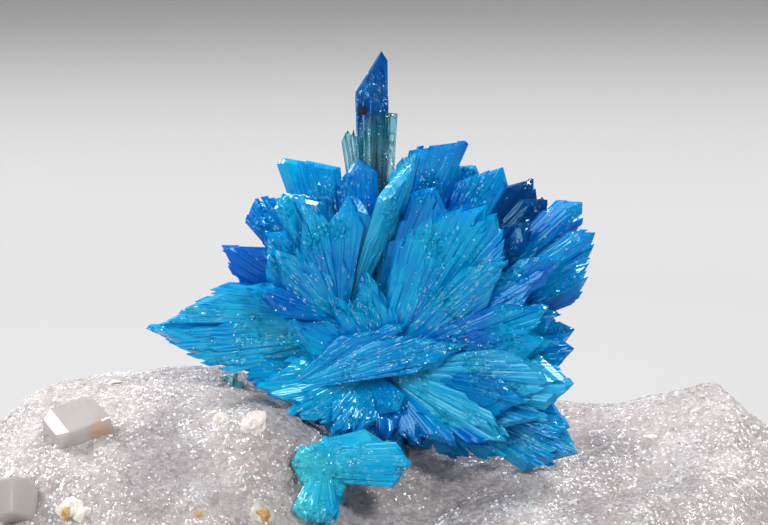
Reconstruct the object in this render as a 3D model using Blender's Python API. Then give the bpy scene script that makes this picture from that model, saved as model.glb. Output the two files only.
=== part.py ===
"""A radiating spray of pentagonite, with a smaller spray beside it, on white crystalline matrix.

Sizes and meshes are in millimetres, and each object's scale brings them to metres, because exact
Booleans lose thin slivers in meshes a few thousandths of a unit across. +X is to the right of the
specimen's best side, +Y goes away from its viewer and +Z is up. The origin is the middle of the
matrix's flat underside.
"""

import math
import random
from dataclasses import dataclass

import bmesh
import bpy
from mathutils import Euler, Matrix, Vector, noise

MILLIMETRE = 0.001
SEAT_GAP = 0.06
VIEW_TILT = math.radians(10)

# Matrix: plan half sizes, and the height of its broken rim
MATRIX_HALF_X = 15.5
MATRIX_HALF_Y = 9.5
RIM_HEIGHT = 3.4
SECTORS = 40
TOP_RINGS = 9
SIDE_RINGS = 3
EDGE_SQUARENESS = 2.5
EDGE_ROLL = 0.74

# Domes of the matrix: middle x and y, height, and how far each reaches along x and y
DOME_BLEND = 3.2
DOME_DROP = 1.3
DOMES = (
    (-10.0, 2.4, 7.3, 4.6, 4.6),
    (-6.3, 1.6, 7.95, 3.2, 3.6),
    (-4.1, -1.3, 7.5, 2.2, 2.3),
    (0.2, 0.8, 6.1, 2.2, 2.6),
    (4.6, 0.4, 5.3, 3.6, 3.2),
    (7.8, 4.0, 6.0, 3.6, 3.6),
    (12.0, 4.4, 7.1, 3.4, 3.8),
    (12.2, -1.6, 5.3, 3.2, 3.6),
    (-12.4, -2.0, 6.5, 3.0, 3.2),
    (-8.6, -2.9, 6.5, 3.0, 2.8),
    (-5.6, -4.4, 5.5, 2.3, 2.2),
    (-1.0, -4.8, 3.7, 2.0, 2.0),
    (3.8, -3.6, 4.5, 2.8, 2.6),
    (8.4, -3.6, 4.7, 3.2, 2.8),
    (-0.6, 3.6, 6.7, 3.0, 2.4),
    (-3.0, 5.6, 6.9, 4.6, 3.6),
    (3.4, 6.0, 6.1, 4.4, 3.4),
)

# Lumps on the domes: how many in a millimetre, how high, and a height in the noise to read them at
LUMPS = ((0.55, 0.3, 2.035), (1.3, 0.14, 11.83))
EDGE_WAVES = ((1.7, 0.16), (4.6, 0.07))
BRINK_WAVES = (0.35, 1.5)
RING_CROWDING = 0.85
SIDE_BULGE = 0.03
SIDE_TAPER = 0.07
SIDE_CHIPS = (0.45, 2.3, 0.05)

# Spray: where the blades grow from, as offsets right, up and towards the viewer from its middle
SPRAY_MIDDLE = Vector((-0.4, 0.0, 8.3))
HEARTS = {
    "left": (-0.9, 1.35, -0.1),
    "top": (0.1, 1.2, -0.2),
    "right": (0.55, -0.2, 0.0),
    "low": (-0.15, -0.15, 0.45),
    "front": (-0.3, 0.2, 0.45),
}
ROOT_SHARE = 0.42
ROOT_START = 0.45
LATH_OVERLAP = 1.32
BROAD_SHOULDER = 0.62
LOWEST_SHOULDER = 0.35
TIP_BEVEL = 0.7
TIP_EDGE = 0.42
TIP_LIMIT = 0.94
APEX_LIMIT = 0.8
STEP_BACK = 0.75
UNEVEN_TIP = 0.16
UNEVEN_FACE = 0.12
SOLIDS_PER_CUT = 12


@dataclass(frozen=True)
class Blade:
    """A sheaf of laths that lie side by side and spread a little towards their tips.

    bearing and lean aim it: degrees anticlockwise from the right in the plane that faces the
    viewer, and degrees out of that plane towards the viewer. reach is from the heart to the tip.
    apex says where across the width the tip stands, from -1 to 1 with bearing increasing, and
    falls how steeply the end drops from it on those two sides. roll turns the broad face.
    """

    heart: str
    bearing: float
    reach: float
    width: float
    lean: float = 0.0
    laths: int = 1
    apex: float = 0.0
    falls: tuple = (1.3, 1.3)
    thickness: float = 0.55
    roll: float = 0.0
    root: float = ROOT_SHARE


WEST_BLADES = (
    Blade("left", 181, 6.75, 3.1, lean=4, laths=4, apex=0.06, falls=(1.9, 1.9), thickness=1.0, root=0.62),
    Blade("left", 160, 4.3, 1.3, lean=-6, laths=2, apex=0.6, falls=(0.9, 1.2)),
    Blade("left", 145.5, 4.95, 1.45, lean=-2, laths=2, apex=0.3, falls=(1.4, 1.6), roll=-12),
    Blade("left", 125, 5.25, 1.4, lean=-4, laths=3, apex=0.1, falls=(0.4, 0.6), thickness=0.7),
    Blade("left", 103, 5.95, 1.85, lean=-3, laths=4, apex=0.7, falls=(0.45, 0.8), thickness=0.7),
    Blade("left", 133, 4.3, 1.5, lean=20, laths=2, apex=-0.4, falls=(0.8, 0.9), roll=14),
    Blade("left", 156, 3.7, 1.3, lean=17, laths=2, apex=0.3, thickness=0.6, roll=-18),
    Blade("left", 112, 5.1, 1.3, lean=15, laths=2, apex=0.4, falls=(0.7, 0.7), roll=20),
    Blade("left", 86, 4.7, 1.0, lean=18, laths=2, apex=-0.2, falls=(1.0, 1.0), roll=-35),
    Blade("left", 70, 6.1, 0.9, lean=22, laths=2, apex=-0.6, falls=(1.2, 1.5), roll=48),
)
SPIRE = (
    Blade("top", 90.8, 9.35, 1.0, apex=-0.62, falls=(4.0, 1.55), thickness=0.42, root=0.9),
    Blade("top", 87.5, 7.3, 0.84, lean=1, laths=2, falls=(0.08, 0.08), thickness=0.5, root=0.9),
    Blade("top", 94.3, 7.7, 0.86, lean=-2, apex=-0.9, falls=(1.0, 1.9), thickness=0.45, root=0.9),
    Blade("top", 98.6, 6.8, 0.32, lean=-3, apex=-0.5, falls=(1.0, 1.6), thickness=0.2, root=0.9),
)
TOP_BLADES = (
    Blade("top", 97, 5.85, 1.05, lean=7, laths=2, apex=-0.2, falls=(0.35, 0.9), thickness=0.5),
    Blade("top", 80, 6.2, 0.95, lean=10, laths=2, apex=-0.7, falls=(0.4, 1.2), roll=38),
    Blade("top", 71, 7.0, 1.5, lean=6, laths=3, apex=-0.95, falls=(1.6, 0.5), thickness=0.7),
    Blade("top", 61, 6.5, 0.9, lean=-4, laths=2, apex=-0.5, falls=(1.6, 0.7)),
    Blade("top", 66, 5.5, 1.5, lean=20, laths=2, apex=0.2, falls=(0.8, 0.8), roll=-14),
)
EAST_BLADES = (
    Blade("right", 63.5, 7.95, 1.4, lean=2, laths=2, apex=-0.5, falls=(1.0, 1.1), thickness=0.7),
    Blade("right", 53.5, 8.3, 1.05, lean=-10, laths=2, apex=-0.1, falls=(1.0, 1.3)),
    Blade("right", 48, 7.95, 0.9, lean=-2, falls=(0.9, 1.1), roll=24),
    Blade("right", 42.5, 8.6, 0.85, lean=2, laths=2, apex=-0.4, falls=(1.5, 0.9), roll=-20),
    Blade("right", 39, 8.5, 0.6, lean=-8, apex=-0.4, falls=(1.5, 1.2), roll=30),
    Blade("right", 35, 8.35, 0.75, lean=5, apex=-0.3, falls=(1.6, 1.2), roll=-28),
    Blade("right", 31.5, 8.15, 0.65, lean=-3, apex=0.1, falls=(1.4, 1.4), roll=16),
    Blade("right", 28.3, 7.9, 0.75, lean=8, apex=0.2, falls=(1.4, 1.4), roll=-24),
    Blade("right", 24.5, 7.45, 0.85, lean=-2, apex=0.3, falls=(1.2, 1.6), roll=20),
    Blade("right", 47, 7.3, 1.5, lean=20, laths=3, apex=-0.4, falls=(0.9, 0.6), roll=-16),
    Blade("right", 34, 6.9, 1.4, lean=24, laths=2, apex=0.2, falls=(1.0, 1.0), roll=22),
    Blade("right", 21, 6.3, 1.1, lean=14, laths=2, apex=-0.2, roll=-22),
    Blade("right", 57, 6.6, 1.2, lean=16, laths=2, apex=-0.3, falls=(1.0, 0.9), roll=18),
    Blade("right", 15.3, 6.45, 1.3, lean=4, laths=2, apex=-0.4, falls=(1.2, 1.0), thickness=0.6),
    Blade("right", 7, 6.3, 0.95, lean=10, laths=2, apex=0.1, falls=(1.1, 1.3), roll=-18),
    Blade("right", 12, 5.9, 1.5, lean=25, laths=2, apex=0.1, roll=16),
    Blade("right", -3, 6.5, 1.7, lean=20, laths=3, apex=-0.1, falls=(1.0, 1.2), thickness=0.7),
    Blade("right", -15, 6.5, 1.35, lean=11, laths=2, apex=-0.3, falls=(0.9, 1.1), roll=-14),
    Blade("right", -26, 6.9, 1.7, lean=6, laths=3, apex=0.45, falls=(0.9, 1.2), thickness=0.8),
    Blade("right", -12, 5.3, 1.3, lean=30, laths=2, apex=0.2, roll=24),
    Blade("right", -37, 4.8, 1.0, lean=-2, apex=0.2, falls=(1.0, 1.0), roll=20),
    Blade("right", -48, 4.0, 0.9, lean=-8, falls=(1.1, 1.1), roll=-20),
    Blade("right", -62, 3.0, 1.0, lean=-8, falls=(0.8, 0.8)),
    Blade("right", -32, 4.6, 1.2, lean=24, laths=2, apex=-0.2, roll=-20),
)
FRONT_BLADES = (
    Blade("front", 52, 4.9, 1.1, lean=32, laths=2, apex=-0.3, roll=24),
    Blade("front", 78, 4.3, 1.0, lean=34, apex=0.2, roll=-22),
    Blade("front", 22, 4.6, 1.1, lean=38, apex=0.2, roll=-14),
    Blade("front", -6, 4.2, 1.0, lean=34, apex=-0.2, roll=18),
    Blade("front", 108, 3.5, 1.1, lean=34, apex=0.2, roll=12),
    Blade("front", 146, 3.0, 1.1, lean=36, apex=-0.1, roll=-16),
    Blade("front", 176, 2.9, 1.2, lean=30, falls=(0.9, 0.9), roll=10),
    Blade("front", -34, 3.0, 1.0, lean=38, apex=0.1, roll=-10),
    Blade("front", 92, 2.1, 1.0, lean=56, apex=0.2, root=0.7),
    Blade("front", -120, 1.9, 1.0, lean=50, apex=-0.2, roll=20, root=0.7),
    Blade("front", 205, 1.9, 0.95, lean=52, roll=-30, root=0.7),
)
LOW_BLADES = (
    Blade("low", -171, 3.2, 1.2, lean=12, laths=2, apex=0.3, falls=(1.2, 0.9), thickness=0.6),
    Blade("low", -178, 4.1, 1.2, lean=-4, laths=2, apex=0.1, falls=(0.7, 0.9), thickness=0.7),
    Blade("low", -160, 2.7, 1.0, lean=4, laths=2, falls=(0.8, 0.8)),
    Blade("low", -138, 2.1, 1.0, lean=14, falls=(0.9, 0.9)),
    Blade("low", -116, 2.6, 1.0, lean=8, falls=(0.6, 0.6), thickness=0.7, root=0.8),
    Blade("low", -96, 3.6, 1.1, lean=6, laths=2, falls=(0.5, 0.5), thickness=0.9, root=0.8),
    Blade("low", -78, 3.6, 1.1, lean=-8, laths=2, falls=(0.5, 0.5), thickness=0.9, root=0.8),
    Blade("low", -104, 3.6, 1.0, lean=-24, falls=(0.6, 0.6), thickness=0.8, roll=20, root=0.8),
    Blade("low", -66, 3.4, 1.0, lean=-30, falls=(0.6, 0.6), thickness=0.8, roll=-20, root=0.8),
    Blade("low", -88, 3.4, 1.0, lean=-48, falls=(0.6, 0.6), thickness=0.8, roll=40, root=0.8),
    Blade("low", -34, 4.3, 1.4, lean=-44, apex=0.2, thickness=0.8, roll=20, root=0.6),
    Blade("low", -8, 5.0, 1.3, lean=-50, apex=-0.3, thickness=0.8, roll=-15, root=0.6),
    Blade("low", -146, 4.0, 1.4, lean=-42, apex=0.1, thickness=0.8, roll=-25, root=0.6),
    Blade("low", -172, 4.4, 1.3, lean=-52, apex=-0.2, thickness=0.8, roll=15, root=0.6),
    Blade("low", -100, 3.9, 1.3, lean=-66, apex=0.3, thickness=0.8, root=0.6),
    Blade("right", 172, 4.1, 1.7, lean=-72, apex=0.3, thickness=0.9, roll=15, root=0.7),
    Blade("low", 60, 2.4, 0.9, lean=48, apex=0.3, falls=(0.9, 0.9), root=0.7),
    Blade("low", -52, 2.0, 0.9, lean=34, falls=(0.6, 0.6), root=0.7),
)

# Blades behind, which a rule spreads over the half of the spray that faces away
BACK_COUNT = 37
BACK_REACH = {"left": (4.6, 5.6), "top": (5.2, 6.8), "right": (5.6, 7.6)}
SEEN_REACH = {"left": 4.1, "top": 5.4, "right": 6.2}
BACK_WIDTH = (1.1, 1.7)
BACK_LEANS = (-14, -84)
BACK_CROWDING = 1.15
FIRST_BACK_BEARING = 20
LEFT_HEART_BEARINGS = (85, 230)
TOP_HEART_BEARINGS = (55, 85)
LOWEST_BACK_AIM = -0.25
LOW_AIM = 0.15
LOW_REACH = 0.82

MAIN_KNOTS = (
    (SPRAY_MIDDLE + Vector((-0.05, 0.25, 0.6)), (1.75, 1.15, 1.75), 5),
    (SPRAY_MIDDLE + Vector((0.65, 0.05, -0.2)), (1.1, 0.9, 0.9), 14),
)
KNOT_CORNERS = 20
GOLDEN_ANGLE = 137.508

# Small spray: fans that grow from a point on the front slope
SMALL_MIDDLE = Vector((-1.95, -3.4, 5.8))
SMALL_KNOTS = ((SMALL_MIDDLE, (0.72, 0.6, 0.72), 8),)
SMALL_BLADES = (
    Blade("small", 1, 2.95, 1.05, lean=8, laths=2, apex=0.2, falls=(0.7, 0.8), thickness=0.8, root=0.95),
    Blade("small", 19, 2.5, 0.9, lean=2, laths=2, apex=-0.3, falls=(0.4, 1.0), thickness=0.7, root=0.9),
    Blade("small", 42, 1.15, 0.9, lean=8, falls=(0.5, 0.5), thickness=0.7, root=0.9),
    Blade("small", 120, 0.95, 0.8, lean=14, falls=(0.5, 0.5), thickness=0.6),
    Blade("small", 178, 1.15, 0.9, lean=8, laths=2, falls=(0.5, 0.5), thickness=0.7, root=0.8),
    Blade("small", -138, 1.6, 0.7, lean=18, falls=(0.8, 0.8), roll=20),
    Blade("small", -114, 2.25, 0.8, lean=32, laths=2, apex=0.2, falls=(0.5, 0.8)),
    Blade("small", -94, 2.35, 0.75, lean=36, laths=2, falls=(0.5, 0.6), roll=-14),
    Blade("small", -77, 2.2, 0.7, lean=30, apex=-0.2, falls=(0.5, 0.8), roll=22),
    Blade("small", -58, 1.5, 0.6, lean=16, falls=(0.8, 0.8), roll=-20),
    Blade("small", -84, 2.2, 0.9, lean=-24, falls=(0.6, 0.6), thickness=0.7, root=0.9),
)


# Pale crystals: middle, sides and turns of each, and the shares of its half sides at its corners
PALE_CRYSTALS = {
    "pale_crystal_left": (Vector((-10.1, -3.6, 5.75)), (1.9, 1.7, 1.9), (18, -14, 24)),
    "pale_crystal_front": (Vector((-11.9, -4.7, 4.9)), (1.2, 1.1, 1.3), (-20, 22, 50)),
}
BLOCK_CUTS = ((1.0, 1.0, -1.0), (1.0, 1.0, 0.55), (0.62, 1.0, 1.0), (1.0, 0.72, 0.86))


def photo_axes():
    """Right, up and towards the viewer, for one who looks down at the specimen by VIEW_TILT."""
    right = Vector((1, 0, 0))
    up = Vector((0, math.sin(VIEW_TILT), math.cos(VIEW_TILT)))
    return right, up, right.cross(up)


def aim(bearing, lean):
    """The unit direction of a blade, from its two angles in degrees."""
    right, up, towards = photo_axes()
    turn, out = math.radians(bearing), math.radians(lean)
    flat = right * math.cos(turn) + up * math.sin(turn)
    return flat * math.cos(out) + towards * math.sin(out)


def blade_frame(blade):
    """Axis, across (the way bearing increases) and the broad face's normal of a blade."""
    axis = aim(blade.bearing, blade.lean)
    across = aim(blade.bearing + 90, 0)
    normal = axis.cross(across).normalized()
    turned = Matrix.Rotation(math.radians(blade.roll), 3, axis)
    return axis, turned @ across, turned @ normal


def lath_corners(root, tip, across, normal, half_width, half_thick, taper, apex, falls, grow):
    """Corners of one lath: a six-sided root and shoulder, and a chisel edge at the tip."""
    axis = (tip - root).normalized()
    reach = (tip - root).length + grow
    wide, thick = half_width + grow, half_thick + grow
    ring = (
        (-1.0, 0.0),
        (-BROAD_SHOULDER, -1.0),
        (BROAD_SHOULDER, -1.0),
        (1.0, 0.0),
        (BROAD_SHOULDER, 1.0),
        (-BROAD_SHOULDER, 1.0),
    )
    corners = []
    for side, face in ring:
        away = (side - apex) * wide
        drop = abs(away) * falls[0 if away < 0 else 1] + abs(face) * thick * TIP_BEVEL
        foot = root + across * side * wide * taper + normal * face * thick * taper
        shoulder = root + axis * max(reach - drop, LOWEST_SHOULDER * reach)
        corners.append(foot - axis * grow)
        corners.append(shoulder + across * side * wide + normal * face * thick)
    edge = min(max(apex, -TIP_LIMIT), TIP_LIMIT) * wide
    for face in (-TIP_EDGE, TIP_EDGE):
        corners.append(root + axis * reach + across * edge + normal * face * thick)
    return corners


def laths_of(blade, heart, grow=0.0):
    """Corner lists of a blade's laths. The same blade always gives the same laths."""
    chance = random.Random(round(blade.bearing * 10 + blade.lean * 7 + blade.reach * 100))
    axis, across, normal = blade_frame(blade)
    half = blade.width / 2
    share = 1 / blade.laths
    laths = []
    for number in range(blade.laths):
        place = (2 * number + 1) * share - 1
        away = place - blade.apex
        fall = blade.falls[0 if away < 0 else 1]
        beside = abs(away) > share
        short = (abs(away) - share) * half * fall * STEP_BACK if beside else 0.0
        short += chance.uniform(0.0, UNEVEN_TIP) * blade.width if beside else 0.0
        lift = normal * chance.uniform(-UNEVEN_FACE, UNEVEN_FACE) * blade.thickness * (blade.laths > 1)
        start = ROOT_START * chance.uniform(0.6, 1.1)
        root = heart + axis * start + across * place * half * blade.root * 0.8
        tip = heart + axis * (blade.reach - short) + across * place * half + lift
        apex = blade.apex if blade.laths == 1 else (blade.apex - place) / share
        apex = min(max(apex, -APEX_LIMIT), APEX_LIMIT)
        thick = blade.thickness / 2 * chance.uniform(0.8, 1.0)
        wide = half * share * (LATH_OVERLAP if blade.laths > 1 else 1.0)
        laths.append(
            lath_corners(root, tip, across, normal, wide, thick, blade.root, apex, blade.falls, grow)
        )
    return laths


def back_heart(bearing):
    """Name of the heart that a far-side blade of this bearing grows from."""
    if LEFT_HEART_BEARINGS[0] < bearing < LEFT_HEART_BEARINGS[1]:
        return "left"
    return "top" if TOP_HEART_BEARINGS[0] < bearing <= TOP_HEART_BEARINGS[1] else "right"


def back_blades():
    """Blades for the far side, spread by the golden angle and left out where they would go down."""
    chance = random.Random(11)
    blades = []
    for number in range(BACK_COUNT):
        share = (number + 0.5) / BACK_COUNT
        lean = BACK_LEANS[0] + (BACK_LEANS[1] - BACK_LEANS[0]) * share**BACK_CROWDING
        bearing = (number * GOLDEN_ANGLE + FIRST_BACK_BEARING) % 360
        heart = back_heart(bearing)
        reach = min(chance.uniform(*BACK_REACH[heart]), SEEN_REACH[heart] / math.cos(math.radians(lean)))
        width = chance.uniform(*BACK_WIDTH)
        apex = chance.uniform(-0.5, 0.5)
        roll = chance.uniform(-35, 35)
        low = aim(bearing, lean).z
        if low < LOWEST_BACK_AIM:
            continue
        if low < LOW_AIM:
            reach *= LOW_REACH
        blades.append(
            Blade(heart, bearing, reach, width, lean=lean, apex=apex, thickness=0.7, roll=roll, root=0.6)
        )
    return blades


def heart_point(name):
    """Where the blades of one heart start."""
    if name == "small":
        return SMALL_MIDDLE
    steps = zip(photo_axes(), HEARTS[name])
    return SPRAY_MIDDLE + sum((axis * step for axis, step in steps), Vector())


def object_of(shape, name):
    """An object that holds this shape, brought from millimetres to metres by its scale."""
    mesh = bpy.data.meshes.new(name)
    shape.to_mesh(mesh)
    shape.free()
    made = bpy.data.objects.new(name, mesh)
    made.scale = (MILLIMETRE, MILLIMETRE, MILLIMETRE)
    return made


def hull_object(name, corners):
    """A closed convex solid round these corners."""
    shape = bmesh.new()
    for corner in corners:
        shape.verts.new(corner)
    made = bmesh.ops.convex_hull(shape, input=shape.verts)
    inside = {item for item in made["geom_interior"] if isinstance(item, bmesh.types.BMVert)}
    bmesh.ops.delete(shape, geom=list(inside), context="VERTS")
    bmesh.ops.recalc_face_normals(shape, faces=shape.faces)
    return object_of(shape, name)


def ball_corners(centre, radii, seed, grow=0.0):
    """Corners of an uneven crystal knot, spread evenly over an ellipsoid."""
    chance = random.Random(seed)
    corners = []
    for number in range(KNOT_CORNERS):
        high = 1 - 2 * (number + 0.5) / KNOT_CORNERS
        turn = math.radians(number * GOLDEN_ANGLE)
        flat = math.sqrt(1 - high * high)
        spot = Vector((flat * math.cos(turn), flat * math.sin(turn), high))
        spot *= chance.uniform(0.86, 1.06)
        corners.append(centre + Vector([part * (radius + grow) for part, radius in zip(spot, radii)]))
    return corners


def helpers_of(name, objects):
    """Puts the solids that a Boolean reads in a collection that is left out of the model."""
    helpers = bpy.data.collections.new(f"{name} helpers")
    bpy.context.scene.collection.children.link(helpers)
    helpers.hide_render = True
    for each in objects:
        helpers.objects.link(each)
        each.hide_render = True
        each.display_type = "WIRE"
    return helpers


def combine(base, solids, operation):
    """Joins base with these solids, or cuts them out of it, a few at a time."""
    for start in range(0, len(solids), SOLIDS_PER_CUT):
        modifier = base.modifiers.new(f"{operation.title()} {start}", "BOOLEAN")
        modifier.operation = operation
        modifier.operand_type = "COLLECTION"
        modifier.collection = helpers_of(base.name, solids[start : start + SOLIDS_PER_CUT])
        modifier.solver = "EXACT"


def material(name, colour, roughness, transmission=0.0):
    """A plain material with the look of one mineral."""
    made = bpy.data.materials.new(name)
    made.use_nodes = True
    shader = made.node_tree.nodes["Principled BSDF"]
    shader.inputs["Base Color"].default_value = (*colour, 1)
    shader.inputs["Roughness"].default_value = roughness
    shader.inputs["Metallic"].default_value = 0.0
    shader.inputs["IOR"].default_value = 1.55
    shader.inputs["Transmission Weight"].default_value = transmission
    return made


def place(obj, finish):
    """Shows an object as a piece of the model, in its material."""
    bpy.context.scene.collection.objects.link(obj)
    obj.data.materials.append(finish)
    return obj


def spray_solids(blades):
    """A convex solid for every lath of these blades."""
    solids = []
    for blade in blades:
        for corners in laths_of(blade, heart_point(blade.heart)):
            solids.append(hull_object(f"lath_{len(solids)}", corners))
    return solids


def matrix_height(x, y):
    """Height of the matrix's upper surface: rounded domes that run into each other."""
    total = math.exp(DOME_BLEND * RIM_HEIGHT)
    for centre_x, centre_y, top, reach_x, reach_y in DOMES:
        spread = ((x - centre_x) / reach_x) ** 2 + ((y - centre_y) / reach_y) ** 2
        total += math.exp(DOME_BLEND * (top - DOME_DROP * spread))
    lumps = sum(noise.noise((x * often, y * often, level)) * high for often, high, level in LUMPS)
    return math.log(total) / DOME_BLEND + lumps


def outline_point(sector):
    """Where the broken edge of the matrix is in one sector, in plan, before it is centred."""
    turn = 2 * math.pi * sector / SECTORS
    way = Vector((math.cos(turn), math.sin(turn), 0.0))
    square = abs(way.x / MATRIX_HALF_X) ** EDGE_SQUARENESS + abs(way.y / MATRIX_HALF_Y) ** EDGE_SQUARENESS
    uneven = sum(noise.noise(way * often + Vector((0, 0, often))) * high for often, high in EDGE_WAVES)
    return way * square ** (-1 / EDGE_SQUARENESS) * (0.95 + uneven)


def outline_points():
    """The broken edge of the matrix in plan, with the middle of its box at the origin."""
    edge = [outline_point(sector) for sector in range(SECTORS)]
    middle_x = (min(point.x for point in edge) + max(point.x for point in edge)) / 2
    middle_y = (min(point.y for point in edge) + max(point.y for point in edge)) / 2
    return [point - Vector((middle_x, middle_y, 0)) for point in edge]


def top_ring(edge, share):
    """Points of a ring on the matrix's upper surface, this share of the way out to its edge."""
    ring = []
    roll_off = max(0.0, (share - EDGE_ROLL) / (1 - EDGE_ROLL)) ** 2
    for point in edge:
        x, y = point.x * share**RING_CROWDING, point.y * share**RING_CROWDING
        brink = RIM_HEIGHT + noise.noise(Vector((x, y, 6.0)) * BRINK_WAVES[0]) * BRINK_WAVES[1]
        ring.append((x, y, matrix_height(x, y) * (1 - roll_off) + brink * roll_off))
    return ring


def side_ring(edge, brink, share):
    """Points of a ring on the matrix's broken side, this share of the way down from its brink."""
    ring = []
    often, rise, deep = SIDE_CHIPS
    belly = math.sin(math.pi * share)
    for point, above in zip(edge, brink):
        chip = noise.cell((point.x * often, point.y * often, share * rise)) * deep
        reach = 1 + (SIDE_BULGE - chip) * belly - SIDE_TAPER * share
        ring.append((point.x * reach, point.y * reach, above[2] * (1 - share)))
    return ring


def matrix_object():
    """The matrix as one closed solid: rings over its top, then down its broken sides."""
    shape = bmesh.new()
    edge = outline_points()
    rings = [top_ring(edge, level / TOP_RINGS) for level in range(1, TOP_RINGS + 1)]
    brink = rings[-1]
    rings += [side_ring(edge, brink, level / SIDE_RINGS) for level in range(1, SIDE_RINGS + 1)]
    rings = [[shape.verts.new(point) for point in ring] for ring in rings]
    top = shape.verts.new((0, 0, matrix_height(0, 0)))
    for sector in range(SECTORS):
        after = (sector + 1) % SECTORS
        shape.faces.new((top, rings[0][sector], rings[0][after]))
        for upper, lower in zip(rings, rings[1:]):
            shape.faces.new((upper[sector], lower[sector], lower[after], upper[after]))
    shape.faces.new(reversed(rings[-1]))
    bmesh.ops.triangulate(shape, faces=[face for face in shape.faces if len(face.verts) == 4])
    bmesh.ops.recalc_face_normals(shape, faces=shape.faces)
    return object_of(shape, "matrix")


def block_corners(centre, size, turn, grow=0.0):
    """Corners of a blocky crystal with its upper corners cut."""
    half = [side / 2 + grow for side in size]
    spin = Euler([math.radians(angle) for angle in turn]).to_matrix()
    corners = []
    for x in (-1, 1):
        for y in (-1, 1):
            for cut in BLOCK_CUTS:
                spot = Vector((x * cut[0] * half[0], y * cut[1] * half[1], cut[2] * half[2]))
                corners.append(centre + spin @ spot)
    return corners


def seated(corners):
    """Whether a solid reaches down to where the matrix is."""
    return any(corner.z < matrix_height(corner.x, corner.y) + 0.3 for corner in corners)


def spray(name, blades, knots, finish):
    """One spray: its blades and the knots that they grow from, joined in one solid."""
    solids = [hull_object(name, ball_corners(*knot)) for knot in knots]
    body = place(solids.pop(0), finish)
    combine(body, [*solids, *spray_solids(blades)], "UNION")
    return body


def build():
    """Clears the scene and makes every piece of the specimen."""
    for old in list(bpy.data.objects):
        bpy.data.objects.remove(old)
    blue = material("pentagonite", (0.0, 0.29, 0.66), 0.18, 0.4)
    white = material("drusy_matrix", (0.62, 0.59, 0.58), 0.55)
    pale = material("pale_crystal", (0.74, 0.69, 0.62), 0.25, 0.3)

    above = [*WEST_BLADES, *SPIRE, *TOP_BLADES, *EAST_BLADES, *FRONT_BLADES, *LOW_BLADES, *back_blades()]
    spray("main_spray", above, MAIN_KNOTS, blue)
    spray("small_spray", SMALL_BLADES, SMALL_KNOTS, blue)

    pockets = []
    for blade in [*above, *SMALL_BLADES]:
        laths = laths_of(blade, heart_point(blade.heart), SEAT_GAP)
        pockets.extend(hull_object("pocket", corners) for corners in laths if seated(corners))
    pockets.extend(hull_object("pocket", ball_corners(*knot, grow=SEAT_GAP)) for knot in SMALL_KNOTS)
    for name, block in PALE_CRYSTALS.items():
        place(hull_object(name, block_corners(*block)), pale)
        pockets.append(hull_object("pocket", block_corners(*block, grow=SEAT_GAP)))

    matrix = place(matrix_object(), white)
    combine(matrix, pockets, "DIFFERENCE")


build()
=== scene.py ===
"""The looks of a pentagonite specimen: fine striated blades on sparkling white druse.

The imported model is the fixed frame. Each spray's plain laths are replaced here by sheaves of far
finer ones on the same blades, and the matrix gets its crust of small quartz points. Tables are in
millimetres and every mesh is in metres. +X is to the right of the specimen's best side, +Y goes
away from its viewer and +Z is up.
"""

import logging  # noqa: E402
import math  # noqa: E402
import random  # noqa: E402
from dataclasses import dataclass, field  # noqa: E402
from enum import Enum  # noqa: E402
from typing import Any, Iterable  # noqa: E402

import bmesh  # noqa: E402
import bpy  # noqa: E402
from mathutils import Matrix, Vector, noise  # noqa: E402
from mathutils.bvhtree import BVHTree  # noqa: E402


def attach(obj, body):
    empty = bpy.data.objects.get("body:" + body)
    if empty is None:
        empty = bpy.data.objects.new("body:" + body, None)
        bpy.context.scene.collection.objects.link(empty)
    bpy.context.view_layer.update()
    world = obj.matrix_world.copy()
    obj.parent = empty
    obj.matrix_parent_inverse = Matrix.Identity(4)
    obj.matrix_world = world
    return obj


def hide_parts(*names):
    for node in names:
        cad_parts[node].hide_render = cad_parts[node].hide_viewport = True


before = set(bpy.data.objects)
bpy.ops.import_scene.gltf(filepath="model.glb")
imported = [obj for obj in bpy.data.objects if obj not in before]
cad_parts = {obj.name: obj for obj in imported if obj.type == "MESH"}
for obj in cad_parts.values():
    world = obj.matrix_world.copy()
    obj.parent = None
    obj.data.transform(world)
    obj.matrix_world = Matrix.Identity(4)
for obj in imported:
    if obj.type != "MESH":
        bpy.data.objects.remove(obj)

LOG = logging.getLogger("specimen")
MM = 0.001
VIEW_TILT = math.radians(10)
SPRAY_MIDDLE = Vector((-0.4, 0.0, 8.3))
HEARTS = {
    "left": (-0.9, 1.35, -0.1),
    "top": (0.1, 1.2, -0.2),
    "right": (0.55, -0.2, 0.0),
    "low": (-0.15, -0.15, 0.45),
    "front": (0.3, -0.1, 0.5),
    "crown": (-1.05, 1.55, 0.55),
    "sill": (-2.85, -0.75, 1.25),
}
SMALL_MIDDLE = Vector((-1.95, -3.4, 5.8))
GOLDEN_ANGLE = 137.508


# Node trees


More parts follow.
